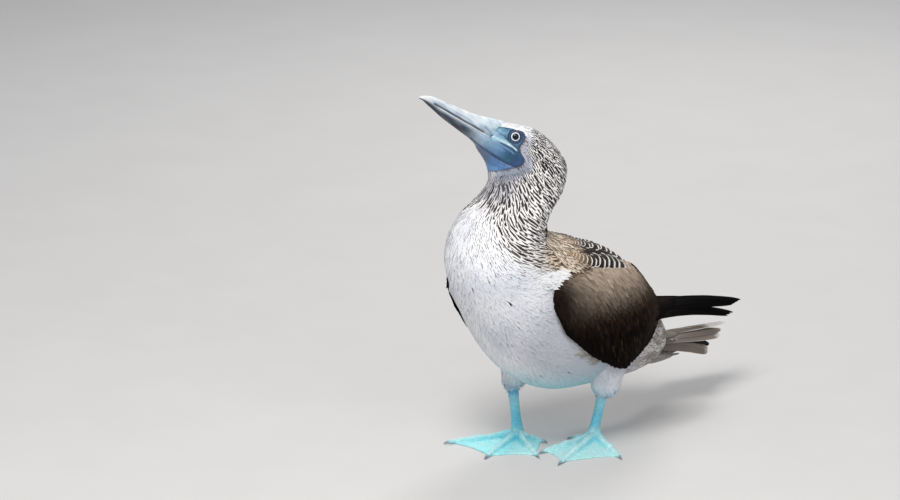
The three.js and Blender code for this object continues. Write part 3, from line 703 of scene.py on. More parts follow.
def face_relief(p):
    """height of the folds, lids and ridges of the bare face"""
    am, bm = face_plane(p)
    h = np.zeros(am.shape)
    for pts, w, k in (([(27, -13.0), (20, -12.6), (13.5, -12.4), (6, -12.3), (-2, -12.9), (-8, -13.8)], 1.1, 0.8),
                      ([(16, -14.8), (6, -14.8), (-2, -15.6), (-9, -16.8)], 0.8, -0.55),
                      ([(14, -16.4), (5, -16.7), (-3, -17.8), (-9, -19.2)], 0.9, 0.45),
                      ([(12, -18.4), (4, -18.8), (-4, -20.5)], 0.7, -0.4),
                      ([(3, -10.2), (-3, -10.8), (-8, -11.6)], 0.8, -0.45),
                      ([(9, 4.6), (17, 2.2), (24, -0.5)], 0.9, -0.4), ([(9, 3.0), (16, 0.6), (23, -2.6)], 0.8, 0.3),
                      ([(9, 1.5), (15, -0.9), (21, -4.6)], 0.8, -0.35), ([(8, -3.2), (13, -6.2), (19, -9)], 0.8, -0.4),
                      ([(36.4, -28.4), (10.4, -31), (2.5, -31.7), (-7, -31.9), (-15.4, -31.5)], 1.3, -0.9),
                      ([(10, -34.5), (0, -36), (-8, -35.5)], 0.9, -0.35), ([(14, -39), (6, -41), (0, -41.5)], 0.9, -0.3)):
        d, u = line_dist(am, bm, pts)
        h += k * np.exp(-(d / w) ** 2) * np.sin(np.pi * np.clip(u, 0.1, 0.92)) ** 0.5
    # fine wrinkles on the throat skin and round the eye
    wr = smooth(bm, -31, -34)
    h += wr * 0.16 * np.sin(am * 1.7 + 1.5 * np.sin(bm * 0.5)) + 0.07 * noise3(p, 4.0, 5)
    return h


def optical_axis(s):
    """centre of an eyeball, and unit vectors along its gaze, across and up"""
    c = head(np.array(EYE_SET[0]), np.array(EYE_SET[1]), np.array(s * EYE_SIDE))
    o = head(np.array(0.0), np.array(0.0), np.array(0.0))
    g = unit(head(np.array(0.31), np.array(0.20), np.array(s * 0.92)) - o)
    fwd = head(np.array(1.0), np.array(0.0), np.array(0.0)) - o
    x = unit(fwd - g * (fwd @ g))
    return c, g, x, np.cross(g, x)


LID = 5.5          # radius of the lid's opening


def eye_socket(p):
    """skin near an eye is laid round the ball: under it inside the lid's opening, a swollen ring outside"""
    out = p.copy()
    for s in (1, -1):
        c, g, x, y = optical_axis(s)
        v = p - c
        z = v @ g
        near = z > 0
        rx, ry = v @ x, v @ y
        rho = np.hypot(rx, ry)
        ball = np.sqrt(np.clip((EYE_R + 0.25) ** 2 - rho ** 2, 0.01, None))
        ring = ball + 0.55 * np.exp(-((rho - LID - 0.7) / 0.65) ** 2)
        inside = np.sqrt(np.clip((EYE_R - 1.3) ** 2 - rho ** 2, 0.01, None))
        lid = np.where(rho < LID, lerp(inside, ball, smooth(rho, LID - 0.9, LID)), ring)
        # from the lid out, ease down to the face's own level, with a second soft ring
        ease = smooth(rho, LID + 0.7, LID + 3.6)
        level = lerp(lid, z + 0.45 * np.exp(-((rho - 8.2) / 0.9) ** 2), ease)
        level = np.where(rho < LID + 3.8, level, z + 0.45 * np.exp(-((rho - 8.2) / 0.9) ** 2))
        take = (near & (rho < 11)).astype(float)
        out = out + g * ((level - z) * take)[..., None]
    return out


def skin_body():
    t = np.concatenate([np.arange(0, 6, 0.2), np.arange(6, 14.5, 0.125), np.arange(14.5, 16, 0.07), np.arange(16, 20.001, 0.032)])
    ang = np.linspace(0, 360, 224, endpoint=False)
    T, A = np.meshgrid(t, ang, indexing="ij")
    p0 = body(T, A)
    d = coat_depth(T, A, p0)
    e = 0.01
    n = np.cross(body(T + e, A) - body(T - e, A), body(T, A + 0.5) - body(T, A - 0.5))
    n = unit(n)
    n *= np.sign(np.sum(n * (body(T, A, 2.0) - p0), -1, keepdims=True))
    p = p0 - n * d[..., None]
    hi = T > 15.5
    rel = face_relief(p0) * smooth(-face_depth(p0), -0.5, 1.2)
    p = p + n * (rel * hi)[..., None]
    p = np.where(hi[..., None], eye_socket(p), p)
    # the front end narrows into the bill's base
    k = smooth(T, 19.6, 20.0)[..., None] * 0.10
    c = p.mean(1, keepdims=True)
    p = p + (c - p) * k
    # smooth extra rings that close the front inside the bill
    last = p[-1]
    cen = last.mean(0)
    fwd = unit(head(np.array(1.0), np.array(0.0), np.array(0.0)) - head(np.array(0.0), np.array(0.0), np.array(0.0)))
    extra = np.stack([cen + (last - cen) * q + fwd * f for q, f in ((0.8, 1.2), (0.55, 2.2), (0.25, 2.8))])
    return np.concatenate([p, extra])


# ------------------------------------------------------------------ wings: the folded shell the feathers lie on
WING = np.array([
    [61, 193, 183, 58, 59, 59], [57, 201, 170, 57, 64, 63], [45, 208, 149, 55, 67, 64], [25, 214, 131, 53, 70, 64],
    [0, 215, 112, 52, 72, 64], [-28, 212, 96, 50, 72, 63], [-55, 208, 86, 45, 70, 60], [-82, 200, 94, 39, 65, 56],
    [-104, 186, 103, 33, 57, 51], [-121, 168, 113, 32, 48, 46], [-133, 147, 127, 38, 42, 43]], float)
WING_R = np.vstack([[[65, 212, 183, 58, 59, 59], [58.7, 215, 170, 57, 64, 63], [52, 216, 151, 55, 67, 64], [40, 216, 129, 53, 70, 64],
                     [18, 215, 108, 52, 72, 64], [-18, 212, 95, 50, 72, 63]], WING[6:]])
WING_SHIFT = {"l": (0, 0), "r": (18, 30)}


def wing_point(side, t, v, h=0.0, face=1):
    s = 1 if side == "l" else -1
    out, fore = WING_SHIFT[side]
    w = read(WING if side == "l" else WING_R, t)
    f, zt, zb, xt, xm, xb = [w[..., i] for i in range(6)]
    front = np.clip(1 - t / 8, 0, 1)
    ends = np.sin(np.pi * np.clip((t + 0.5) / 11, 0.06, 0.94)) ** 0.5
    vc = np.clip(v, -1, 1)
    mid = lerp(lerp(xb, xt, (vc + 1) / 2), xm, 1 - vc * vc)
    thick = 1.6 + 11.4 * (1 - np.abs(vc) ** 3) * ends
    x = mid + h if face > 0 else mid - thick + h
    z = lerp(zb, zt, (v + 1) / 2)
    return np.stack([s * (x + out * front), -(f + fore * front), z], -1)


def wing_core(side):
    t = np.linspace(0.35, 9.6, 60)
    v = np.concatenate([np.linspace(-0.93, 0.93, 26), np.linspace(0.93, -0.93, 26)])
    T, V = np.meshgrid(t, v, indexing="ij")
    o = wing_point(side, T[:, :26], V[:, :26], -2.0)
    i = wing_point(side, T[:, 26:], V[:, 26:], 0.6, -1)
    return np.concatenate([o, i], 1)


# ------------------------------------------------------------------ feet
def web_outline(side):
    """the web's edge between the toe tips, drawn in between them"""
    x, f = LEGS[side]["toe"]
    toes = TOES[side]
    heel = sum(d for d, _ in toes) / 4 + 180
    spot = lambda deg, d: (x + math.sin(math.radians(deg)) * d, f + math.cos(math.radians(deg)) * d)
    pts = [spot(heel, 6)]
    for i, (deg, ln) in enumerate(toes):
        tip = spot(deg, ln - 3)
        if i == 0:
            pts.append(tip)
            continue
        d0, l0 = toes[i - 1]
        c = spot((deg + d0) / 2, (ln + l0) * (0.385 if abs(deg - d0) > 30 else 0.43))
        a = pts[-1]
        for u in np.linspace(0.08, 1, 13):
            pts.append(tuple((1 - u) ** 2 * np.array(a) + 2 * u * (1 - u) * np.array(c) + u * u * np.array(tip)))
    return np.array(pts)


def foot_parts(side):
    x, f = LEGS[side]["toe"]
    kx, kf, kz = LEGS[side]["knee"]
    parts = []
    # web as a thin plate, thickest near the ankle
    o = web_outline(side)
    heel_c = np.array([x, f])
    rings = []
    for q in (1.0, 0.985, 0.9, 0.75, 0.55, 0.3, 0.08):
        rings.append((q, 0.35 if q == 1 else 1.5 if q > 0.98 else 1.75 + 1.6 * (1 - q)))
    n = len(o)
    verts, rows = [], []
    for q, zt in rings:
        xy = heel_c + (o - heel_c) * q
        verts.append(np.column_stack([xy[:, 0], -xy[:, 1], np.full(n, zt)]))
    for q, zt in reversed(rings):
        xy = heel_c + (o - heel_c) * q
        verts.append(np.column_stack([xy[:, 0], -xy[:, 1], np.full(n, 0.0 if q < 1 else 0.3)]))
    parts.append(loft(np.stack(verts)))
    for i, (deg, ln) in enumerate(TOES[side]):
        r = 4.4 * (0.78 if i == 0 else 1)
        rr = [(0, 6.2, 1.35), (0.14, 5.2, 1.2), (0.34, 3.8, 1.0), (0.46, 3.4, 0.86), (0.58, 3.6, 1.05), (0.7, 2.9, 0.82), (0.8, 2.9, 0.9), (0.9, 2.4, 0.68), (1, 2.3, 0.58)]
        pts, sz = [], []
        for u, z, k in rr:
            a, b = toe_tip(side, i, u * ln)
            pts.append(at(a, b, z))
            sz.append((r * k, r * k * 0.82))
        parts.append(loft(tube(pts, sz, 20, 44)))
    parts.append(loft(tube([at(x, f, -2), at(x, f, 3), at(x, f, 7), at(x, f, 12)],
                           [(9, 10), (8.0, 9.4), (5.8, 8.0), (4.9, 6.8)], 32, 20)))
    rr = [(-0.2, 1.3, 1.4), (-0.1, 1.12, 1.22), (0.06, 1.0, 1.08), (0.25, 0.98, 1.0), (0.6, 1, 1), (0.88, 1.1, 1.08), (0.98, 1.0, 0.95), (1.1, 0.8, 0.75), (1.3, 0.7, 0.7)]
    parts.append(loft(tube([at(lerp(x, kx, u), lerp(f, kf, u), lerp(15.45, kz, u)) for u, _, _ in rr],
                           [(4.9 * a, 6.5 * b) for _, a, b in rr], 32, 60)))
    return parts


def thigh_path(side):
    x, f, z = LEGS[side]["knee"]
    s = 1 if side == "l" else -1
    k = 1.12 if side == "l" else 1.0
    P = np.array([at(x, f, z), at(x + s * 0.4, f - 1, z + 4), at(x + s, f - 3, z + 12), at(x + s, f - 6, z + 24), at(x, f - 9, z + 44)])
    S = np.array([(8, 9.5), (11 * k, 12 * k), (14.5 * k, 16.5 * k), (18, 22), (20, 28)])
    return P, S


def thigh_point(side, u, ang, h=0.0):
    """thigh's form: share from the knee (0) up (1), and angle"""
    P, S = thigh_path(side)
    t = np.asarray(u, float) * 4
    p, s = read(P, t), read(S, t)
    d = unit(read(P, t + 0.05) - read(P, t - 0.05))
    side_v = unit(np.cross(d, np.array([0, 1, 0.0])))
    up = np.cross(side_v, d)
    a = np.radians(ang)
    return p + side_v * ((s[..., 0] + h) * np.cos(a))[..., None] + up * ((s[..., 1] + h) * np.sin(a))[..., None]


def select_only(ob):
    for o in bpy.context.view_layer.objects:
        o.select_set(False)
    ob.select_set(True)
    bpy.context.view_layer.objects.active = ob


def apply_all(ob):
    select_only(ob)
    for m in list(ob.modifiers):
        bpy.ops.object.modifier_apply(modifier=m.name)


def join_solids(base, others):
    for o in others:
        m = base.modifiers.new("join", "BOOLEAN")
        m.operation, m.solver, m.object = "UNION", "MANIFOLD", o
        select_only(base)
        bpy.ops.object.modifier_apply(modifier=m.name)
        bpy.data.objects.remove(o)
    return base


def feet_solid():
    """both feet with their shanks: toes, webs and ankles melted together and softened"""
    vs, fs, base = [], [], 0
    for side in "lr":
        for v, f in foot_parts(side):
            vs.append(v)
            fs += [x + base for x in f]
            base += len(v)
    ob = plain("feet_tmp", np.vstack(vs), fs)
    m = ob.modifiers.new("r", "REMESH")
    m.mode, m.voxel_size, m.adaptivity = "VOXEL", 0.00085, 0.0
    s = ob.modifiers.new("s", "SMOOTH")
    s.factor, s.iterations = 0.5, 6
    apply_all(ob)
    me = ob.data
    co = np.zeros(len(me.vertices) * 3, np.float32)
    me.vertices.foreach_get("co", co)
    co = co.reshape(-1, 3)
    w = co * 1000 + BASE
    # ripples of the web, creases over the toe joints
    rip = np.zeros(len(w))
    for side in "lr":
        x0, f0 = LEGS[side]["toe"]
        r = np.hypot(w[:, 0] - x0, -w[:, 1] - f0)
        th = np.degrees(np.arctan2(w[:, 0] - x0, -w[:, 1] - f0))
        near = smooth(r, 96, 90) * smooth(r, 10, 22)
        lo, hi = min(d for d, _ in TOES[side]), max(d for d, _ in TOES[side])
        rip += near * smooth(w[:, 2], 0.8, 1.6) * (0.22 * np.sin(r * 0.55 + 0.12 * th) + 0.18 * np.sin(th * 0.55 + r * 0.05)) * (w[:, 2] < 6)
        rip += near * 0.16 * np.sin(r * 1.9) * smooth(w[:, 2], 2.6, 3.6) * (w[:, 2] < 12)
    w[:, 2] += rip
    w[:, 2] = np.maximum(w[:, 2], 0.0)
    # a flat sole
    low = w[:, 2] < 0.5
    w[low, 2] = 0.0
    me.vertices.foreach_set("co", row(w).astype(np.float32).ravel())
    me.update()
    return ob


MAT_SKIN = skin_material()


def build_skin():
    v, f = loft(skin_body())
    skin = plain("skin", v, f)
    parts = []
    for side in "lr":
        u, a = np.meshgrid(np.linspace(0.02, 1, 26), np.linspace(0, 360, 40, endpoint=False), indexing="ij")
        parts.append(plain("thigh_tmp", *loft(thigh_point(side, u, a, -2.6))))
        parts.append(plain("wing_tmp", *loft(wing_core(side))))
    parts.append(plain("tail_tmp", *loft(tube([at(0, -145, 98), at(0, -166, 90), at(0, -186, 86), at(0, -200, 84)],
                                              [(18, 10), (16, 8), (13, 4.5), (9, 2)], 32, 24))))
    parts.append(feet_solid())
    skin = join_solids(skin, parts)
    me = skin.data
    n = len(me.vertices)
    co = np.zeros(n * 3, np.float32)
    me.vertices.foreach_get("co", co)
    w = co.reshape(-1, 3).astype(float) * 1000 + BASE
    a, b, sd = head_axes(w)
    fd = face_depth(w)
    is_head = (w[:, 2] > 300) & (a > -45)
    X = np.broadcast_to(srgb(226, 228, 234), (n, 3)).copy()
    # feathered skin carries the coat's colours: darker on neck, brown under the wings
    neck = smooth(w[:, 2], 250, 290)
    X = mix(X, srgb(120, 106, 98), neck * 0.8)
    brown = (np.abs(w[:, 0]) > 47) & (w[:, 2] > 84) & (w[:, 2] < 216) & ((-w[:, 1] < 62) | ((w[:, 0] < -51) & (-w[:, 1] < 76)))
    side_out = np.abs(w[:, 0]) - np.interp(-w[:, 1], [-180, -147, -120, -88, -50, 0, 40], [9, 30, 42, 52, 58, 61, 61])
    X = mix(X, W_BLACK * 1.5, (brown & (side_out > np.where((w[:, 0] < 0) & (-w[:, 1] > -60) & (w[:, 2] > 118), -17, -6))).astype(float))
    X = mix(X, W_BLACK * 1.5, ((np.abs(w[:, 0]) > 32) & (-w[:, 1] < -84) & (w[:, 2] > 118)).astype(float))
    back = smooth(w[:, 2], 185, 205) * smooth(-w[:, 1], 40, 10) * smooth(w[:, 2], 262, 250)
    X = mix(X, W_BROWN, back)
    X = mix(X, srgb(150, 140, 131), smooth(-w[:, 1], -140, -156))
    face = is_head & (fd < 0.4)
    fc = face_color(w)
    X = mix(X, fc, face.astype(float) * smooth(fd, 0.6, -0.1))
    foot = w[:, 2] < 60
    legd = np.full(n, 1e9)
    for side in "lr":
        x, f0 = LEGS[side]["toe"]
        kx, kf, kz = LEGS[side]["knee"]
        u = np.clip((w[:, 2] - 15) / (kz - 15), 0, 1)
        legd = np.minimum(legd, np.hypot(w[:, 0] - lerp(x, kx, u), -w[:, 1] - lerp(f0, kf, u)) - 200 * (w[:, 2] < 20))
    knee_z = np.where(w[:, 0] > 0, LEGS["l"]["knee"][2], LEGS["r"]["knee"][2])
    isleg = (legd < 10.5) & (w[:, 2] < knee_z + 3)
    X = mix(X, foot_color(w), isleg.astype(float))
    pat = np.zeros((n, 3))
    pat[:, 0] = np.where(isleg, 0.38, np.where(face, 0.34, 0.6))
    pat[:, 1] = np.where(isleg, 1.0, 0.12)
    for key, val in (("Tint", X), ("Pat", pat)):
        att = me.color_attributes.new(name=key, type="FLOAT_COLOR", domain="POINT")
        att.data.foreach_set("color", np.hstack([val, np.ones((n, 1))]).astype(np.float32).ravel())
    # the skin's own unwrap: by its shape, along and round the body; feet from above
    idx = np.zeros(len(me.loops), np.int32)
    me.loops.foreach_get("vertex_index", idx)
    uv = np.zeros((n, 2))
    # nearest body parameter by a coarse search over the form
    tt, aa = np.meshgrid(np.linspace(0, 20, 121), np.linspace(0, 360, 96, endpoint=False), indexing="ij")
    from mathutils.kdtree import KDTree
    pts = body(tt, aa).reshape(-1, 3)
    kd = KDTree(len(pts))
    for i, q in enumerate(pts):
        kd.insert(q, i)
    kd.balance()
    near = np.array([kd.find(q)[1] for q in w])
    uv = body_uv(tt.ravel()[near], aa.ravel()[near])
    low = w[:, 2] < 30
    uv[low] = np.column_stack([0.70 + (w[low, 0] + 110) / 220 * 0.28, 0.02 + (-w[low, 1] + 60) / 220 * 0.28])
    layer = me.uv_layers.get("OFBake") or me.uv_layers.new(name="OFBake")
    layer.data.foreach_set("uv", uv[idx].astype(np.float32).ravel())
    me.materials.clear()
    me.materials.append(MAT_SKIN)
    me.polygons.foreach_set("use_smooth", np.ones(len(me.polygons), bool))
    me.update()
    skin.name = "skin"
    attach(skin, "root")
    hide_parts("trunk", "neck", "head", "thigh_l", "thigh_r", "leg_l", "leg_r", "foot_l", "foot_r")
    return skin


def body_uv(t, ang):
    return np.column_stack([0.02 + 0.62 * np.asarray(t) / 20, 0.02 + 0.96 * np.mod(ang, 360) / 360])


# ------------------------------------------------------------------ feathers over a form
SMALL = dict(s=[0, 0.35, 0.72, 0.92, 1.0], w=[0.45, 0.95, 1.0, 0.6, 0.0], q=[-1, 0, 1], hq=[0, 0.13, 0])
SOFT = dict(s=[0, 0.4, 0.75, 1.0], w=[0.5, 1.0, 0.8, 0.0], q=[-1, 0, 1], hq=[0, 0.06, 0])
LANCE = dict(s=[0, 0.3, 0.68, 1.0], w=[0.5, 1.0, 0.8, 0.0], q=[-1, 0, 1], hq=[0, 0.2, 0])
ROUND = dict(s=[0, 0.2, 0.42, 0.62, 0.78, 0.9, 0.97, 1.0], w=[0.35, 0.7, 0.95, 1.0, 0.93, 0.72, 0.42, 0.0],
             q=[-1, -0.5, 0, 0.5, 1], hq=[0, 0.08, 0.15, 0.08, 0])
LONG = dict(s=[0, 0.12, 0.25, 0.4, 0.55, 0.7, 0.82, 0.91, 0.97, 1.0], w=[0.4, 0.7, 0.9, 1.0, 1.0, 0.97, 0.86, 0.66, 0.38, 0.0],
            q=[-1, -0.5, 0, 0.5, 1], hq=[0, 0.05, 0.12, 0.05, 0])


def tangents(surf, u, v, eu, ev):
    p = surf(u, v, 0.0)
    pu = (surf(u + eu, v, 0.0) - surf(u - eu, v, 0.0)) / (2 * eu)
    pv = (surf(u, v + ev, 0.0) - surf(u, v - ev, 0.0)) / (2 * ev)
    n = unit(np.cross(pu, pv))
    n = n * np.sign(np.sum(n * (surf(u, v, 2.0) - p), -1, keepdims=True))
    return p, pu, pv, n


def solve(pu, pv, d):
    """surface steps (du, dv) that move by the tangent vector d"""
    a, b, c = np.sum(pu * pu, -1), np.sum(pu * pv, -1), np.sum(pv * pv, -1)
    x, y = np.sum(pu * d, -1), np.sum(pv * d, -1)
    det = np.maximum(a * c - b * b, 1e-9)
    return (c * x - b * y) / det, (a * y - b * x) / det


def scatter(surf, u0, u1, v0, v1, radius, cells=(90, 120), over=3.2, lay=None, long=1.0):
    """points spread evenly over a form, at least radius(u, v, p) apart"""
    U, V = np.meshgrid(np.linspace(u0, u1, cells[0] + 1), np.linspace(v0, v1, cells[1] + 1), indexing="ij")
    p = surf(U, V, 0.0)
    area = np.linalg.norm(np.cross(p[1:, :-1] - p[:-1, :-1], p[:-1, 1:] - p[:-1, :-1]), axis=-1)
    uc, vc = (U[:-1, :-1] + U[1:, 1:]) / 2, (V[:-1, :-1] + V[1:, 1:]) / 2
    r = radius(uc, vc, surf(uc, vc, 0.0))
    w = np.where(r > 0, area / (np.maximum(r, 0.3) ** 2 * long), 0)
    n = int(w.sum() * over)
    pick = RNG.choice(w.size, n, p=(w / w.sum()).ravel())
    du, dv = (u1 - u0) / cells[0], (v1 - v0) / cells[1]
    u = uc.ravel()[pick] + (RNG.random(n) - 0.5) * du
    v = vc.ravel()[pick] + (RNG.random(n) - 0.5) * dv
    q = surf(u, v, 0.0)
    r = radius(u, v, q)
    keep = []
    size = float(np.max(r)) * long if np.max(r) > 0 else 1.0
    dl = (lay(u, v) if lay is not None else np.zeros((n, 3))).tolist()
    less = 1 - 1 / long ** 2
    grid = {}
    cell = np.floor(q / size).astype(int)
    ql, rl, cl = q.tolist(), r.tolist(), cell.tolist()
    offs = [(a, b, c) for a in (-1, 0, 1) for b in (-1, 0, 1) for c in (-1, 0, 1)]
    for i in range(n):
        ri = rl[i]
        if ri <= 0:
            continue
        x, y, z = ql[i]
        a, b, c = cl[i]
        dx, dy, dz = dl[i]
        ok = True
        for da, db, dc in offs:
            for j in grid.get((a + da, b + db, c + dc), ()):
                m = ql[j]
                ex, ey, ez = m[0] - x, m[1] - y, m[2] - z
                al = ex * dx + ey * dy + ez * dz
                if ex * ex + ey * ey + ez * ez - less * al * al < ri * ri:
                    ok = False
                    break
            if not ok:
                break
        if ok:
            grid.setdefault((a, b, c), []).append(i)
            keep.append(i)
    keep = np.array(keep, int)
    return u[keep], v[keep], q[keep], r[keep]


def vanes(surf, u, v, d, length, half, form, sink, lift, uv, style, twist=0.0, curl=0.0, steps=(0.01, 0.5), drop=0.0, vary=0.25,
          path=None):
    """one closed thin vane per root, laid over the form in direction d. Returns arrays for make_mesh."""
    n = len(u)
    length = np.broadcast_to(length, n).astype(float)
    if path is None:
        p, pu, pv, nrm = tangents(surf, u, v, *steps)
        d = unit(d - nrm * np.sum(d * nrm, -1, keepdims=True))
        across = np.cross(nrm, d)
        d = unit(d + across * (twist * RNG.normal(size=n))[:, None])
        across = np.cross(nrm, d)
        du, dv = solve(pu, pv, d)
    else:                                    # the whole way from root to tip, as steps over the form
        p, pu, pv, nrm = tangents(surf, u + path[0] * 0.5, v + path[1] * 0.5, *steps)
        d = unit(pu * path[0][:, None] + pv * path[1][:, None])
        across = np.cross(nrm, d)
        du, dv = path[0] / length, path[1] / length
    cu, cv = solve(pu, pv, across)
    S, Wd, Q, HQ = (np.array(form[k], float) for k in ("s", "w", "q", "hq"))
    half = np.broadcast_to(half, n).astype(float)
    ring_q = np.concatenate([Q, [0.0]])                      # the last is the underside's middle
    nq, ns = len(Q), len(S)
    R = nq + 1
    s_in = S[:-1]
    # bend: a slight sideways curve so that the rows don't look ruled
    bend = curl * RNG.normal(size=n)
    hj = RNG.normal(size=n) * vary
    verts = np.zeros((n, (ns - 1) * R + 1, 3))
    vane = np.zeros((n, (ns - 1) * R + 1, 2))
    for j in range(ns):
        s = S[j]
        qs = ring_q if j < ns - 1 else np.array([0.0])
        wj = Wd[j]
        for k, q in enumerate(qs):
            sideways = half * wj * q + bend * length * s * s
            uu = u + du * length * s + cu * sideways
            vv = v + dv * length * s + cv * sideways
            h = -sink * (1 - s) ** 1.15 + lift * s ** 2 + hj * s
            if j < ns - 1:
                if k < nq:
                    h = h + half * HQ[k] * wj - drop * half * abs(q) * wj
                else:
                    h = h - np.maximum(0.1 * half, 0.18)
            idx = j * R + k if j < ns - 1 else (ns - 1) * R
            verts[:, idx] = surf(uu, vv, h)
            vane[:, idx] = (q * 0.5 * (wj if wj > 0 else 1) / max(wj, 0.2) + 0.5, s)
    rings = ns - 1
    base = (np.arange(n) * ((ns - 1) * R + 1))[:, None, None]
    i, k = np.meshgrid(np.arange(rings - 1), np.arange(R), indexing="ij")
    a, b = i * R + k, i * R + (k + 1) % R
    quads = np.stack([a, b, b + R, a + R], -1).reshape(-1, 4)
    kk = np.arange(R)
    tip = np.stack([(rings - 1) * R + kk, (rings - 1) * R + (kk + 1) % R, np.full(R, rings * R)], -1)
    cap = np.arange(R)[::-1][None]
    # turn the faces outward
    flip = np.sum(np.cross(verts[:, R] - verts[:, 0], verts[:, nq - 1] - verts[:, 0]) * nrm, -1)
    out = []
    sign = np.sign(np.median(flip)) if n else 1
    for f in (quads, tip, cap):
        f = f if sign < 0 else f[:, ::-1]
        out.append((base + f[None]).reshape(-1, f.shape[1]))
    tint, mark, edge, pat = style
    m = verts.shape[1]
    bake = uv[:, None, :] + (vane - 0.5) * 0.003
    rep = lambda x: np.repeat(x, m, 0)
    return dict(v=verts.reshape(-1, 3), f=out, uv=bake.reshape(-1, 2), vane=vane.reshape(-1, 2),
                c=dict(Tint=rep(tint), Mark=rep(mark), Edge=rep(edge), Pat=rep(pat)), count=n, per=m)


TRIS = {"n": 0}
PIECES = []


def add_coat(name, parts, mat, replaces=()):
    """joins vane arrays to one piece of the coat"""
    off, vs, fs, uvs, vns, cs = 0, [], [], [], [], {}
    for p in parts:
        if p["count"] == 0:
            continue
        vs.append(p["v"])
        fs += [f + off for f in p["f"]]
        uvs.append(p["uv"])
        vns.append(p["vane"])
        for k, c in p["c"].items():
            cs.setdefault(k, []).append(c)
        off += len(p["v"])
    ob = make_mesh(name, np.vstack(vs), fs, [mat], np.vstack(uvs), np.vstack(vns), {k: np.vstack(c) for k, c in cs.items()}, sharp=62)
    ob.data.calc_loop_triangles()
    k = len(ob.data.loop_triangles)
    TRIS["n"] += k
    print(f"coat {name}: {k} triangles")
    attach(ob, "root")
    if replaces:
        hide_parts(*replaces)
    PIECES.append(ob)
    return ob


FEATHER = feather_material("feather_soft", rough=0.78, sheen=0.10, spec=0.12, barbs=14, bump=0.4, grain=0.08)
FEATHER_DARK = feather_material("feather_flight", rough=0.62, sheen=0.0, spec=0.02, barbs=46, bump=0.6, grain=0.20)


# wing outline test: is a point of the body under a folded wing
def under_wing(p):
    s = np.where(p[..., 0] > 0, 1, -1)
    F, Z = -p[..., 1], p[..., 2]
    hidden = np.zeros(F.shape, bool)
    for side, sg in (("l", 1), ("r", -1)):
        t = np.linspace(0, 10, 60)
        w = wing_point(side, t, np.full(60, 1.0))
        b = wing_point(side, t, np.full(60, -1.0))
        f = -w[:, 1]
        o = np.argsort(f)
        zt, zb = np.interp(F, f[o], w[o, 2]), np.interp(F, f[o], b[o, 2])
        inside = (F > f.min() + 5) & (F < f.max() - 15) & (Z < zt - 5) & (Z > zb + 10)
        hidden |= inside & (s == sg) & (np.abs(p[..., 0]) > np.interp(F, [-130, -90, 0, 60], [36, 42, 46, 48]))
    return hidden


def body_surf(u, v, h):
    return body(u, v, h)


def body_radius(t, ang, p):
    fa = folded(ang)
    am, _ = face_plane(p)
    fd = np.where(t > 13, face_depth(p), 99.0)
    r = np.interp(t, [0, 2, 5, 8, 11, 13, 15, 17, 20], [2.6, 2.5, 2.15, 2.0, 2.0, 1.9, 1.7, 1.4, 1.1])
    k = streaked(t, fa, fd, am)
    rs = np.interp(t, [8, 10, 12, 14, 15.5, 17, 18.5, 20], [4.0, 4.0, 3.8, 3.3, 2.7, 2.2, 1.7, 1.2])
    r = lerp(r, rs, k)
    m = mantled(t, fa)
    r = lerp(r, np.interp(t, [3, 6, 8, 10], [5.6, 5.0, 4.2, 3.2]), m)
    r = np.where(t > 15, np.minimum(r, 0.95 + 0.10 * np.clip(fd, 0, 20)), r)
    r = np.where(fd < 0.1, -1, r)
    scap = (t > 3.9) & (t < 6.9) & (fa > 46) & (fa < 80)
    r = np.where(scap, -1, r)
    r = np.where(under_wing(p), -1, r)
    return r


def body_lay(u, v):
    """bill to tail; on the sides of the neck the feathers sweep back toward the shoulders"""
    _, pu, pv, nrm = tangents(body_surf, u, v, 0.01, 0.5)
    fa = folded(v)
    turn = np.interp(u, [5, 7, 8.5, 9.5, 10.5, 12, 13, 14, 15, 16, 17.5], [0, 4, 20, 42, 56, 58, 54, 46, 34, 18, 0])
    turn = np.radians(turn * np.interp(fa, [-90, -65, -35, 0, 40, 70, 90], [0, 0.15, 0.55, 0.95, 1, 0.55, 0]))
    back = unit(pv) * np.where(np.cos(np.radians(v)) > 0, 1, -1)[..., None]
    return unit(-unit(pu) * np.cos(turn)[..., None] + back * np.sin(turn)[..., None])


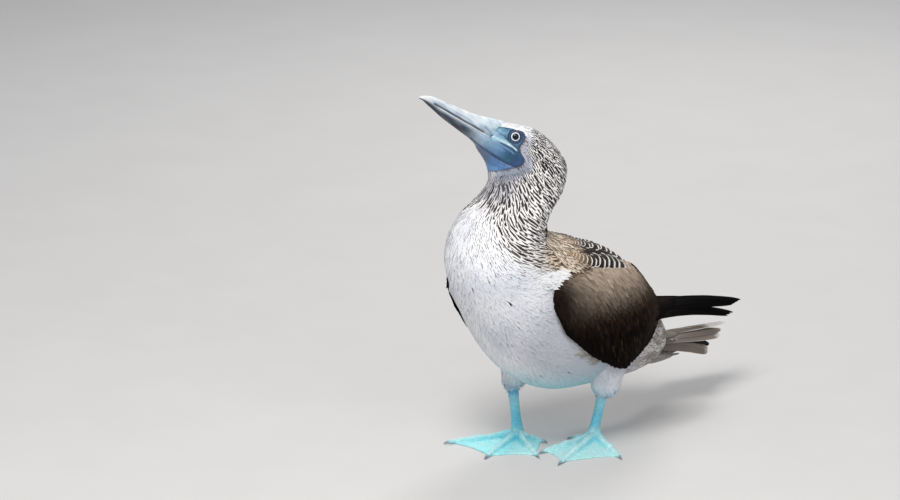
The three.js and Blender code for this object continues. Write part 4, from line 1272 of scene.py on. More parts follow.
def build_coat():
    u, v, p, r = scatter(body_surf, 0.2, 19.98, 0, 360, body_radius, cells=(200, 180), lay=body_lay, long=1.8, over=3.0)
    n = len(u)
    print("body feathers", n)
    d = body_lay(u, v)
    fd = np.where(u > 13, face_depth(p), 99.0)
    am, bm = face_plane(p)
    tint, mark, edge, pat = coat_style(u, v, p)
    fa = folded(v)
    k = streaked(u, fa, fd, am)
    m = mantled(u, fa)
    length = r * lerp(lerp(7.0, 5.2, k), 3.6, m) * RNG.uniform(0.88, 1.15, n)
    length = np.where(u > 17, r * 4.2, length)
    half = r * lerp(lerp(0.92, 0.74, k), 0.78, m)
    deep = coat_depth(u, v, p)
    sink = lerp(np.minimum(deep * 0.6, 1.5), deep * 0.66, k)
    lift = lerp(0.0, np.interp(u, [0, 8, 12, 15, 20], [0.1, 0.2, 0.45, 0.3, 0.05]), k)
    # tips of the hind neck and fore mantle lie over the scapulars' front
    lift = lift + 2.2 * smooth(u, 8.3, 8.9) * smooth(u, 10.6, 9.4) * smooth(fa, 22, 40)
    near = smooth(fd, 0, 6)                  # beside the bare face they are tiny and flat
    sink, lift = sink * lerp(0.5, 1, near), lift * near
    uv = body_uv(u, v)
    wide = (m > 0.55) & (pat[:, 2] > 0.02)
    groups = [("coat_tail_end", u < 3.4), ("coat_belly", (u >= 3.4) & (u < 6.2)), ("coat_breast_low", (u >= 6.2) & (u < 8.6)),
              ("coat_breast_high", (u >= 8.6) & (u < 10.8)), ("coat_neck_low", (u >= 10.8) & (u < 13)), ("coat_neck", (u >= 13) & (u < 15.5)),
              ("coat_head", u >= 15.5)]
    for name, sel in groups:
        parts = []
        for form, pick, vary in ((ROUND, sel & wide, 0.2), (SOFT, sel & ~wide & (k < 0.3), 0.06), (LANCE, sel & ~wide & (k >= 0.3), 0.22)):
            if pick.sum():
                parts.append(vanes(body_surf, u[pick], v[pick], d[pick], length[pick], half[pick], form, sink[pick], lift[pick],
                                   uv[pick], (tint[pick], mark[pick], edge[pick], pat[pick]), twist=0.07, curl=0.03, vary=vary))
        add_coat(name, parts, FEATHER)


def free_vanes(root, d, nrm, length, half, form, uv, style, curve=0.0):
    """vanes laid in the open from a root along d, bending toward the surface by curve"""
    n = len(root)
    nrm = unit(nrm - d * np.sum(nrm * d, -1, keepdims=True))
    across = np.cross(nrm, d)

    def surf(a, b, h):
        a, b, h = np.broadcast_arrays(a, b, h)
        return root + d * a[:, None] + across * b[:, None] + nrm * (h - curve * (a / length) ** 2)[:, None]
    z = np.zeros(n)
    return vanes(surf, z, z, None, length, half, form, 0.0, 0.0, uv, style, steps=(0.1, 0.1), vary=0.1, path=(np.broadcast_to(length, n).astype(float), z))


# ------------------------------------------------------------------ shoulder feathers over the wing's upper front corner
def build_shoulders():
    parts = []
    for side in (1, -1):
        n = 130
        e = np.linspace(0, 1, n)
        k = RNG.random(n)
        u = np.interp(e, [0, 1], [9.25, 7.75]) + RNG.normal(size=n) * 0.10
        fa = np.interp(e, [0, 0.5, 1], [4, 20, 36]) + RNG.normal(size=n) * 2.5
        v = fa if side > 0 else 180 - fa
        p = body(u, v)
        d = body_lay(u, v)
        warm = smooth(e, 0.45, 0.95)
        tint = mix(np.broadcast_to(srgb(250, 250, 250), (n, 3)).copy(), srgb(236, 220, 200), warm * 0.8)
        mark = mix(np.broadcast_to(srgb(170, 160, 154), (n, 3)).copy(), srgb(120, 98, 80), warm)
        pat = np.column_stack([lerp(0.0, 0.4, k) * (k > 0.5), np.full(n, 0.7), np.zeros(n)])
        parts.append(vanes(body_surf, u, v, d, RNG.uniform(15, 22, n), RNG.uniform(2.0, 2.8, n), LANCE, 1.2,
                           np.interp(e, [0, 0.5, 1], [2.0, 3.6, 4.4]), body_uv(u, v), (tint, mark, tint, pat), twist=0.16, curl=0.05, vary=0.5))
    add_coat("shoulder_feathers", parts, FEATHER)


# ------------------------------------------------------------------ thigh feathers
def build_thighs():
    for side in "lr":
        surf = lambda a, b, h: thigh_point(side, a, b, h)
        rad = lambda a, b, p: np.where(p[..., 2] > 92, -1.0, 2.6)
        u, v, p, r = scatter(surf, 0.02, 0.95, 0, 360, rad, cells=(40, 60))
        n = len(u)
        _, pu, pv, nrm = tangents(surf, u, v, 0.01, 0.5)
        d = -unit(pu)
        # tips end at the knee's feather edge, a little ragged
        knee = LEGS[side]["knee"][2]
        room = (p[:, 2] - knee) + 3.0 + RNG.uniform(0, 2.5, n)
        length = np.minimum(15.0 * RNG.uniform(0.85, 1.15, n), np.maximum(room, 4.0))
        tint = mix(np.broadcast_to(W_WHITE, (n, 3)).copy(), W_SHADE, np.clip(RNG.random(n) * 0.5, 0, 1))
        # painted reflection: blue from the feet on the lowest thigh feathers, strongest at the knee
        tint = mix(tint, srgb(170, 206, 226), smooth(p[:, 2], knee + 26, knee + 2) * 0.7)
        style = (tint, np.tile(W_DARK, (n, 1)), np.tile(W_WHITE, (n, 1)), np.zeros((n, 3)))
        uv = np.column_stack([0.68 + 0.12 * u + (0.15 if side == "r" else 0), 0.34 + 0.10 * v / 360])
        part = vanes(surf, u, v, d, length, 2.5, SOFT, lerp(1.2, 4.5, smooth(p[:, 2], 72, 92)), smooth(p[:, 2], knee + 24, knee + 5) * RNG.uniform(1.5, 5.5, n), uv, style, twist=0.12, curl=0.03, vary=0.08)
        add_coat(f"coat_thigh_{side}", [part], FEATHER)


# ------------------------------------------------------------------ wing feathers
def wing_surf(side):
    return lambda t, v, h: wing_point(side, t, v, h)


def wing_tint(F, Z, n, x=None):
    """tan on the upper coverts, partly their worn paler brown and partly painted sheen, near black below; a painted
    shadow under the scapulars along the top edge
    """
    c = mix(np.broadcast_to(W_BLACK, (n, 3)).copy(), srgb(44, 32, 25), smooth(Z, 122, 168))
    # the tan is part worn colour, part painted sheen; it is left out along the top edge as painted shadow under the
    # scapulars
    c = mix(c, srgb(196, 177, 158), smooth(Z, 145, 204) ** 1.2 * smooth(Z, 215, 206) * smooth(F, 58, -44) ** 0.75)
    c = mix(c, srgb(60, 46, 36), smooth(F, -84, -122) * 0.8)
    c = mix(c, srgb(88, 66, 48), np.clip(RNG.normal(size=n) * 0.6, 0, 1) * 0.30 * smooth(F, 40, -30))
    c = mix(c, srgb(26, 19, 15), smooth(F, 26, 52) * 0.8)
    return c


def wing_lay(surf, u, v):
    """the hair-like run of the coverts: back and down, steeper toward the rear"""
    _, pu, pv, nrm = tangents(surf, u, v, 0.02, 0.02)
    lean = np.interp(v, [-1, -0.3, 1.0], [0.50, 0.52, 0.66]) * np.interp(u, [0, 2, 6, 10], [1.15, 1.1, 0.85, 0.45])
    return unit(unit(pu) * lean[:, None] - unit(pv) * 0.8), pu, pv


def tip_first(surf, u, v, want, vmax=1.03, umax=10.0):
    """roots for feathers whose tips are at (u, v): up and forward, within the form's outline"""
    d, pu, pv = wing_lay(surf, u, v)
    du, dv = solve(pu, pv, -d)
    room_v = np.where(dv > 0, (vmax - v) / np.maximum(dv, 1e-6), 1e3)
    room_u = np.where(du < 0, (u + 0.02) / np.maximum(-du, 1e-6), 1e3)
    L = np.clip(np.minimum(want, np.minimum(room_u, room_v)), 4.0, None)
    ru, rv = np.clip(u + du * L, 0.0, umax), np.clip(v + dv * L, -1, vmax)
    real = np.linalg.norm(surf(ru, rv, 0.0) - surf(u, v, 0.0), axis=-1)
    return ru, rv, np.maximum(real, 2.5)


def build_wing(side):
    surf = wing_surf(side)
    rad = lambda a, b, p: np.full(np.shape(a), 1.75)
    lay = lambda a, b: wing_lay(surf, a, b)[0]
    u, v, p, r = scatter(surf, 0.02, 9.96, -0.93, 1.0, rad, cells=(100, 70), lay=lay, long=3.0, over=3.0)
    n = len(u)
    F, Z = -p[:, 1], p[:, 2]
    want = np.interp(v, [-1, -0.4, 0.2, 1], [44, 34, 24, 15]) * RNG.uniform(0.75, 1.2, n)
    ru, rv, L = tip_first(surf, u, v, want)
    half = np.interp(L, [4, 20, 46], [1.3, 1.7, 2.3]) * RNG.uniform(0.8, 1.2, n)
    fore = WING_SHIFT[side][1]
    tint = wing_tint(F - fore * np.clip(1 - u / 8, 0, 1), Z, n) * np.exp(RNG.normal(size=n) * 0.17)[:, None]
    mark = tint * 0.5
    edge = tint * 1.3
    pat = np.column_stack([np.full(n, 0.12) * (RNG.random(n) < 0.5), np.full(n, 0.98), np.full(n, 0.06) * (RNG.random(n) < 0.5)])
    uv = np.column_stack([0.68 + 0.30 * ru / 10, (0.46 if side == "l" else 0.73) + 0.25 * (rv + 1) / 2])
    parts = [vanes(surf, ru, rv, None, L, half, SMALL, 1.5, 0.1, uv, (tint, mark, edge, pat), curl=0.02, steps=(0.02, 0.02),
                   drop=0.05, vary=0.22, path=(u - ru, v - rv))]
    # secondaries: their tips make the lower and rear edge
    m = 84
    e = np.linspace(0, 1, m)
    tu = np.interp(e, [0, 0.72, 0.88, 1], [1.0, 8.6, 9.9, 9.97])
    tv = np.interp(e, [0, 0.72, 0.88, 1], [-0.995, -0.995, -0.8, 0.5])
    tu, tv = tu + RNG.normal(size=m) * 0.02, np.clip(tv + RNG.normal(size=m) * 0.01, -1, 1)
    ru, rv, L = tip_first(surf, tu, tv, np.interp(e, [0, 0.3, 1], [30, 66, 60]))
    q = surf(tu, tv, 0.0)
    dark = np.tile(srgb(17, 12, 10), (m, 1)) * np.exp(RNG.normal(size=m) * 0.15)[:, None]
    uv = np.column_stack([0.68 + 0.30 * ru / 10, (0.46 if side == "l" else 0.73) + 0.25 * (rv + 1) / 2])
    pat = np.column_stack([np.full(m, 0.06), np.full(m, 0.98), np.full(m, 0.03)])
    parts.append(vanes(surf, ru, rv, None, L, np.interp(e, [0, 0.3, 1], [3.4, 5.2, 5.6]), LONG, 1.6, -0.25, uv,
                       (dark, dark * 0.5, dark * 1.7, pat), curl=0.01, steps=(0.02, 0.02), drop=0.03, vary=0.1, path=(tu - ru, tv - rv)))
    add_coat(f"wing_coverts_{side}", parts, FEATHER_DARK, (f"wing_{side}",))


# ------------------------------------------------------------------ scapulars
def scap_point(side, t, v, h=0.0):
    u = np.clip((t - 3.35) / (8.6 - 3.35), 0, 1)
    full = lerp(12.5, 1.5, u) + 3 * np.sin(np.pi * u)
    low, high = lerp(40, 33, np.sin(np.pi * u)), 86
    a = lerp(low, high, v)
    hh = 0.9 + full * np.sin(np.pi * np.clip(0.2 + v * 0.72, 0, 1)) + 0.45
    if side == "r":
        a = 180 - a
    return body(t, a, hh + h)


def build_scapulars(side):
    surf = lambda t, v, h: scap_point(side, t, v, h)
    back_uv = 120.0 if side == "r" else 60.0

    def lay_of(u, v):
        _, pu, pv, nrm = tangents(surf, u, v, 0.02, 0.02)
        down = np.interp(v, [0, 1], [0.10, 0.34]) * np.interp(u, [3.4, 5.5, 8.6], [1.3, 1.0, 0.4])
        return unit(-unit(pu) - unit(pv) * down[:, None]), pu, pv

    def field(rad, over, ratio, half_k, v1, tint_of, form, sink, lift, dim):
        u, v, p, r = scatter(surf, 3.42, 9.2, 0.0, v1, rad, cells=(70, 30), over=over)
        n = len(u)
        d, pu, pv = lay_of(u, v)
        du, dv = solve(pu, pv, -d)
        L = r * RNG.uniform(0.95, 1.1, n) * ratio
        room = np.where(dv > 0, (1.12 - v) / np.maximum(dv, 1e-6), 1e3)
        L = np.clip(np.minimum(L, room), 4.0, None)
        ru, rv = u + du * L, v + dv * L
        real = np.linalg.norm(surf(ru, rv, 0.0) - surf(u, v, 0.0), axis=-1)
        tint, edge, pat = tint_of(u, v, n)
        uv = body_uv(ru, back_uv + (rv - 0.5) * 40)
        return vanes(surf, ru, rv, None, real, r * half_k, form, sink, lift, uv, (tint, tint * dim, edge, pat), curl=0.015,
                     steps=(0.02, 0.02), drop=0.06, vary=0.2, path=(u - ru, v - rv))

    def streaks(u, v, n):
        j = RNG.random(n)
        tint = mix(np.broadcast_to(srgb(236, 222, 202), (n, 3)).copy(), srgb(200, 176, 148), j * 0.8)
        tint = mix(tint, srgb(122, 98, 78), smooth(u, 7.2, 6.2) * 0.8)
        return tint, tint, np.column_stack([lerp(0.25, 0.62, RNG.random(n)), lerp(0.7, 0.95, j), np.zeros(n)])

    def under(u, v, n):
        tint = mix(np.broadcast_to(srgb(150, 126, 104), (n, 3)).copy(), srgb(38, 28, 24), smooth(u, 7.4, 6.0))
        return tint, tint, np.zeros((n, 3))

    def rows():
        """each row runs forward from the wing's rear; tips point back and show a pale crescent"""
        us, vs, half, lift = [], [], [], []
        for k, (v0, size, up) in enumerate(((0.27, 1.0, 1.2), (0.60, 0.78, 0.5), (0.82, 0.66, 0.3), (1.0, 0.55, 0.9))):
            u = 3.46 + 0.16 * (k % 2)
            while u < 7.4:
                vv = v0 + RNG.normal() * 0.012
                pu = np.linalg.norm(surf(np.array([u + 0.02]), np.array([vv]), 0.0) - surf(np.array([u - 0.02]), np.array([vv]), 0.0)) / 0.04
                us.append(u)
                vs.append(vv)
                half.append(np.interp(u, [3.4, 5.0, 6.2, 7.4], [13.5, 12.0, 8.0, 5.0]) * size)
                lift.append(up)
                u += np.interp(u, [3.4, 4.5, 5.6, 7.4], [15.0, 12.5, 8.0, 4.2]) * lerp(1, size, 0.5) / pu * RNG.uniform(0.93, 1.07)
        u, v, half, lift = (np.array(x) for x in (us, vs, half, lift))
        n = len(u)
        d, pu, pv = lay_of(u, v)
        du, dv = solve(pu, pv, -d)
        L = half * 2.4
        room = np.where(dv > 0, (1.12 - v) / np.maximum(dv, 1e-6), 1e3)
        L = np.clip(np.minimum(L, room), 6.0, None)
        ru, rv = u + du * L, v + dv * L
        real = np.linalg.norm(surf(ru, rv, 0.0) - surf(u, v, 0.0), axis=-1)
        dark = smooth(u, 7.0, 5.9)
        tint = mix(np.broadcast_to(srgb(150, 126, 102), (n, 3)).copy(), srgb(46, 34, 28), dark) * np.exp(RNG.normal(size=n) * 0.10)[:, None]
        edge = mix(np.broadcast_to(srgb(228, 212, 190), (n, 3)).copy(), srgb(252, 250, 246), dark)
        pat = np.column_stack([np.full(n, 0.06), np.full(n, 0.9), np.interp(u, [3.4, 5.2, 7.4], [0.22, 0.17, 0.13])])
        uv = body_uv(ru, back_uv + (rv - 0.5) * 40)
        return vanes(surf, ru, rv, None, real, half, ROUND, 2.2, lift, uv, (tint, tint * 0.55, edge, pat), curl=0.01,
                     steps=(0.02, 0.02), drop=0.10, vary=0.05, path=(u - ru, v - rv))
    front = lambda t, v, p: np.where(t > 6.2, np.interp(t, [6.2, 8, 9.2], [3.6, 3.4, 3.2]), -1.0)
    parts = [field(lambda t, v, p: np.full(np.shape(t), 4.2), 3.2, 3.4, 0.85, 1.1, under, SMALL, 2.6, -1.3, 0.5),
             field(front, 4, 5.0, 0.74, 1.05, streaks, LANCE, 1.8, 0.1, 0.16), rows()]
    add_coat(f"scapular_feathers_{side}", parts, FEATHER, (f"scapulars_{side}",))


# ------------------------------------------------------------------ flight and tail feathers, one by one
def quill(root, mid, tip, half, roll, tint, edge_tint=None, fringe=0.0, thick=0.9, steps=34, cup=0.10, uv=(0.5, 0.5),
          asym=0.0, streak=0.05, blunt=6.0, base=0.65, notch=0.0):
    """a single long feather along a bent line: cupped vane, raised shaft, closed underside"""
    R, M, T = (at(*x) for x in (root, mid, tip))
    u = np.concatenate([np.linspace(0, 0.8, steps - 12), np.linspace(0.8, 1, 13)[1:]])
    p = (1 - u)[:, None] ** 2 * R + 2 * (u * (1 - u))[:, None] * M + (u ** 2)[:, None] * T
    d = unit(2 * (1 - u)[:, None] * (M - R) + 2 * u[:, None] * (T - M))
    out = np.array([math.cos(math.radians(roll)), 0, math.sin(math.radians(roll))])
    wide = unit(np.cross(d, out))
    face = unit(np.cross(wide, d))
    w = half * np.clip(np.minimum(base + u * 2.2, 1) * np.sqrt(np.maximum(0.0, 1 - u ** blunt)), 0.035, 1)
    q = np.array([-1, -0.75, -0.45, -0.12, -0.04, 0, 0.04, 0.12, 0.45, 0.75, 1])
    shaft = np.array([0, 0, 0, 0.02, 0.28, 0.42, 0.28, 0.02, 0, 0, 0]) * (1 - 0.7 * u)[:, None]
    qq = np.where(q < 0, q * (1 - asym), q * (1 + asym * 0.6))
    wav = 0.12 * half * notch * np.sin(u * 31 + q[None].T * 2).T if notch else 0
    top = (p[:, None] + wide[:, None] * (w[:, None] * qq + 0)[..., None]
           + face[:, None] * (thick / 2 * (1 - 0.55 * np.abs(q)) + shaft - cup * w[:, None] * qq ** 2 + wav)[..., None])
    qb = q[::-1][1:-1]
    qqb = np.where(qb < 0, qb * (1 - asym), qb * (1 + asym * 0.6))
    bot = (p[:, None] + wide[:, None] * (w[:, None] * qqb)[..., None]
           + face[:, None] * (-thick / 2 * (1 - 0.55 * np.abs(qb)) - shaft[:, ::-1][:, 1:-1] * 0.8 - cup * w[:, None] * qqb ** 2)[..., None])
    rings = np.concatenate([top, bot], 1)
    v, f = loft(rings)
    m = rings.shape[1]
    qv = np.concatenate([q, qb])
    vane = np.stack(np.meshgrid(u, qv * 0.5 + 0.5, indexing="ij")[::-1], -1).reshape(-1, 2)
    vane = np.vstack([vane, [[0.5, 0]], [[0.5, 1]]])
    n = len(v)
    tint = np.asarray(tint)
    if tint.ndim == 2:                       # colour from root to tip
        tt = np.linspace(0, 1, len(tint))
        tint_v = np.column_stack([np.interp(vane[:, 1], tt, tint[:, k]) for k in range(3)])
    else:
        tint_v = np.tile(tint, (n, 1))
    e = tint_v * 1.5 if edge_tint is None else np.tile(edge_tint, (n, 1))
    pat = np.tile([streak, 0.97, fringe], (n, 1))
    bake = np.array(uv)[None] + (vane - 0.5) * np.array([0.012, 0.05])
    return dict(v=v, f=f, uv=bake, vane=vane, c=dict(Tint=tint_v, Mark=tint_v * 0.45 + 0.01, Edge=e, Pat=pat), count=1, per=n)


def build_primaries(side):
    s, far, low = (1, 0, 0) if side == "l" else (-1, 9, 8)
    roll = 42 if s > 0 else 138
    parts = []
    k = 0
    for i in range(4):
        for sub in (0, 1):
            j = i + sub * 0.5
            group = 0 if i < 2 else 1          # two blades, parted toward the tips
            tipz = 104 - 11 * group - 1.0 * (j - 2 * group) - low
            shade = np.array([srgb(52, 42, 37), srgb(12, 9, 9), srgb(6, 5, 5), srgb(7, 6, 6)]) * RNG.uniform(0.85, 1.2)
            if i == 3 and sub:
                continue
            parts.append(quill([s * (38 + 3.2 * j), -98, 141 - 2.2 * j - low], [s * (20 + 3.4 * j), -184, 136.5 - 2.2 * j - 2.6 * group - low],
                               [s * (11 + 2.2 * j), -308 + 12 * (j - 2 * group) + 18 * group - far, tipz], 8.8 - 0.9 * j, roll, shade,
                               srgb(40, 35, 32), 0.03, 0.8, uv=(0.70 + 0.03 * k, 0.40 if side == "l" else 0.43), asym=0.18 * s,
                               cup=0.14, blunt=1.9, notch=0.12))
            k += 1
    # coverts over their bases: grey-brown
    low += 0 if s > 0 else 6
    for i in range(5):
        j = i * 0.8
        shade = np.array([srgb(62, 52, 46), srgb(38, 31, 28), srgb(14, 11, 11)]) * (0.8 if i == 0 else 0.4 if i == 1 else 0.18)
        parts.append(quill([s * (41 + 3 * j), -94, 143 - 3.0 * j - low], [s * (33 + 3.2 * j), -138, 141.5 - 3.0 * j - low],
                           [s * (24 + 3.0 * j), -178 + 7 * j - far, 135.5 - 3.2 * j - low], 6.6 - 0.3 * j, roll, shade,
                           shade[1] * 1.4, 0.03, 0.8, steps=26, uv=(0.86 + 0.02 * i, 0.40 if side == "l" else 0.43), asym=0.1 * s, cup=0.14))
    add_coat(f"flight_feathers_{side}", parts, FEATHER_DARK, (f"primaries_{side}",))


def build_tail():
    parts = []
    # per feather from the middle out: half width, height and length changes, tint from root to tip
    # the fourth feather out is near black: painted shade standing in for the shadowed gap between the tail's groups
    look = [(5.4, 1.0, -3, (140, 128, 118), (132, 119, 109), (104, 92, 84)), (8.4, 0.2, -2, (188, 178, 168), (146, 133, 123), (124, 112, 103)),
            (9.8, 0.0, -8, (180, 170, 160), (148, 136, 126), (134, 122, 112)), (8.0, -1.8, 2, (44, 37, 33), (26, 21, 19), (30, 25, 22)),
            (8.4, -1.4, -4, (140, 130, 121), (104, 94, 86), (92, 82, 75)), (8.0, -0.8, -12, (134, 124, 116), (116, 105, 97), (104, 93, 86))]
    for s in (1, -1):
        for i, (half, up, back, c0, c1, c2) in enumerate(look):
            shade = np.array([srgb(*c0), srgb(*c1), srgb(*c2)]) * RNG.uniform(0.95, 1.05)
            white = srgb(240, 236, 230) if i in (0, 2) else srgb(170, 160, 150) if i > 3 else shade[1] * 1.3
            parts.append(quill([s * (2 + 2.4 * i), -146, 92 - 1.6 * i], [s * (3 + 3.6 * i), -200, 86 - 1.9 * i + up * 0.6],
                               [s * (3 + 5.7 * i), -288 + 14.5 * i + back, 76.5 - 2.7 * i + up], half, 78 - 5 * i if s > 0 else 102 + 5 * i, shade,
                               white, 0.24 if i == 0 else 0.09, 1.0, uv=(0.70 + 0.02 * i, 0.455 if s > 0 else 0.45), asym=0.12 * s, streak=0.06,
                               cup=0.12, blunt=4.5 if i == 0 else 9.0, base=0.6, notch=0.1))
    # coverts above and below the tail
    for up in (1, -1):
        for i in range(26 if up > 0 else 40):
            x = (RNG.random() * 2 - 1) * 15
            f0 = -136 - RNG.random() * 30
            ln = RNG.uniform(40, 60) if up > 0 else RNG.uniform(30, 46)
            if up < 0:
                f0, ln = f0 + 8, ln * 1.1
            z0 = (93 - 0.12 * abs(x) - (-136 - f0) * 0.30) if up > 0 else RNG.uniform(62, 72)
            z1 = z0 - 0.17 * ln if up > 0 else RNG.uniform(60, 69)
            c = srgb(226, 222, 218) if up < 0 else srgb(150, 140, 130)
            c = c * (RNG.uniform(0.6, 1.1) if up > 0 else RNG.uniform(0.85, 1.15))
            parts.append(quill([x * 0.8, f0, z0], [x * 0.9, f0 - ln * 0.5, (z0 + z1) / 2 + 1.2 * up], [x * 1.05, f0 - ln, z1],
                               4.6, 90, np.array([c, c * 0.85]), srgb(236, 232, 228), 0.10, 0.5, steps=20,
                               uv=(0.84 + 0.005 * i, 0.45), cup=0.2))
    add_coat("tail_feathers", parts, FEATHER, ("tail",))


# ------------------------------------------------------------------ bill
BILL = np.array([[14, 7.2, -14.2, -40.5, 15.0], [24, 5.0, -15.4, -35.0, 13.6], [34, 2.6, -15.2, -29.8, 12.2], [45, 0.1, -14.6, -26.9, 10.9],
                 [57, -1.4, -14.2, -25.1, 9.6], [70, -2.6, -13.7, -23.0, 8.2], [83, -3.3, -13.1, -20.8, 6.9], [96, -4.2, -12.7, -17.6, 5.4],
                 [105, -5.7, -12.5, -15.4, 4.1], [111, -8.2, -12.5, -13.7, 2.8], [115.8, -11.4, -12.7, -13.1, 1.2]], float)
UPPER_FORM = np.array([[-1, 0], [-1, 0.3], [-0.84, 0.6], [-0.62, 0.82], [-0.3, 0.97], [0, 1], [0.3, 0.97], [0.62, 0.82], [0.84, 0.6], [1, 0.3], [1, 0]])
LOWER_FORM = np.array([[-0.98, 0], [-0.98, 0.35], [-0.78, 0.7], [-0.42, 0.94], [0, 1], [0.42, 0.94], [0.78, 0.7], [0.98, 0.35], [0.98, 0]])


def bill_color(p, upper):
    am, bm = face_plane(p)
    a, b, w = head_axes(p)
    _, top, mouth, low, half = [read(BILL, np.interp(a, BILL[:, 0], np.arange(11)))[..., i] for i in range(5)]
    if upper:
        k = np.clip((b - mouth) / np.maximum(top - mouth, 1), 0, 1)
        # lighter toward the ridge: painted light from above on the upper mandible
        col = mix(np.broadcast_to(srgb(160, 176, 192), p.shape).copy(), srgb(216, 222, 227), smooth(k, 0.30, 0.85))
        col = mix(col, srgb(196, 212, 222), smooth(a, 70, 30) * smooth(k, 0.2, 0.5) * 0.6)
        col = mix(col, srgb(150, 164, 178), smooth(k, 0.24, 0.05) * 0.7)
        worn = noise3(np.stack([a * 0.22, b, w], -1), 4.2, 23) + 0.5 * noise3(p, 16, 24)
        col = mix(col, srgb(118, 132, 148), np.clip(worn, 0, 1) * 0.42 * smooth(a, 22, 40))
        col = mix(col, srgb(238, 242, 244), np.clip(-worn, 0, 1) * 0.35 * smooth(a, 22, 40))
        # painted shade: near black in the long groove
        groove, u = line_dist(a, b, GROOVE)
        col = mix(col, srgb(22, 26, 34), np.exp(-(groove / 1.15) ** 2) * 0.97 * smooth(u, 0.0, 0.10))
        g2, _ = line_dist(a, b, [(24, -12.4), (29, -8.6), (35, -6.8)])
        col = mix(col, srgb(70, 112, 136), np.exp(-(g2 / 1.1) ** 2) * 0.75)
        # painted highlight: a near-white line along the upper mandible's lower edge, just above the mouth
        edge = np.exp(-((b - mouth - 0.25) / 0.6) ** 2)
        col = mix(col, srgb(250, 252, 253), edge * smooth(a, 100, 84))
        col = mix(col, srgb(140, 176, 194), smooth(a, 34, 22) * smooth(b, 3, -6) * 0.6)
        blot = np.clip(noise3(p, 6, 21), 0, 1) * smooth(a, 40, 26)
        col = mix(col, srgb(112, 150, 160), blot * 0.5)
        col = mix(col, srgb(30, 42, 60), np.exp(-(np.hypot(a - 24, b + 13.0) / 2.2) ** 2) * 0.9)
        col = mix(col, srgb(232, 228, 220), smooth(a, 96, 114) * 0.5)
        col = mix(col, srgb(60, 60, 66), smooth(a, 92, 108) * smooth(k, 0.28, 0.0) * 0.8)
    else:
        k = np.clip((mouth - b) / np.maximum(mouth - low, 1), 0, 1)
        # darker toward the underside: painted shade on the lower mandible
        col = mix(np.broadcast_to(srgb(112, 126, 142), p.shape).copy(), srgb(52, 62, 78), smooth(k, 0.04, 0.34))
        col = mix(col, srgb(38, 40, 54), smooth(k, 0.45, 0.9))
        worn = noise3(np.stack([a * 0.22, b, w], -1), 4.2, 25)
        col = mix(col, srgb(150, 164, 178), np.clip(worn, 0, 1) * 0.22)
        col = mix(col, srgb(30, 30, 36), smooth(a, 86, 106) * smooth(k, 0.0, 0.4) * 0.9)
        col = mix(col, face_color(p), smooth(a, 56, 30) * 0.95)
        # painted highlight: a pale line along the lower mandible's top edge at the mouth
        col = mix(col, srgb(206, 218, 228), np.exp(-((mouth - b - 0.7) / 0.6) ** 2) * 0.5 * smooth(a, 100, 84))
    return col


GROOVE = [(99, -9.8), (97.5, -10.4), (83.9, -11.0), (73.7, -11.4), (63.5, -11.7), (53.2, -12.0), (43, -12.4), (34.5, -13.0)]
HORN = horn_material("horn_bill")


def build_bill(upper):
    t = np.linspace(0, 10, 120)
    r = read(BILL, t)
    form = UPPER_FORM if upper else LOWER_FORM
    m = 45 if upper else 41
    fo = read(form, np.linspace(0, len(form) - 1, m))
    rings = []
    for i in range(len(t)):
        a, top, mouth, low, w = r[i]
        x, y = fo[:, 0], np.clip(fo[:, 1], 0, 1.02)
        if upper:
            b = mouth + 0.12 + y * max(top - mouth - 0.12, 0.8)
            wide = x * w
            # the long groove on each side and the plates' edge above the mouth
            g = np.interp(a, [34.5, 43, 53.2, 63.5, 73.7, 83.9, 97.5], [-13.0, -12.4, -12.0, -11.7, -11.4, -11.0, -10.4])
            wide = wide - np.sign(x) * (0.9 * np.exp(-((b - g) / 0.8) ** 2) * smooth(a, 104, 94) * smooth(a, 26, 36))
            along = np.full(m, a)
            inner = [(0.8, 0.25), (0.0, 0.6), (-0.8, 0.25)]
            cl_b = [mouth + 0.12 + h for _, h in inner]
        else:
            b = mouth - 0.16 - y * max(mouth - 0.16 - low, 0.7)
            wide = x * w * 0.96
            along = np.full(m, a - 1.2 * t[i] / 10)
            g = lerp(mouth, low, 0.62)
            wide = wide - np.sign(x) * (0.5 * np.exp(-((b - g) / 0.9) ** 2) * smooth(a, 112, 96) * smooth(a, 24, 40))
            inner = [(0.8, -0.25), (0.0, -0.6), (-0.8, -0.25)]
            cl_b = [mouth - 0.16 + h for _, h in inner]
        ring = head(along, b, wide)
        close = head(np.full(3, along[0]), np.array(cl_b), np.array([q for q, _ in inner]) * (w if upper else w * 0.93) * (1 if wide[-1] > 0 else -1))
        rings.append(np.vstack([ring, close]))
    rings = np.stack(rings)
    v, f = loft(rings)
    n = len(v)
    a, b, w = head_axes(v)
    vane = np.column_stack([a / 100, b / 100 + w / 200])
    uvb = np.column_stack([0.70 + a / 118 * 0.12 + (0 if upper else 0.14), 0.33 + (b + 45) / 60 * 0.04])
    ob = make_mesh("bill_top" if upper else "bill_bottom", v, f, [HORN], uvb, vane, {"Tint": bill_color(v, upper)}, sharp=55)
    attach(ob, "root")
    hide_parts("bill_upper" if upper else "bill_lower")


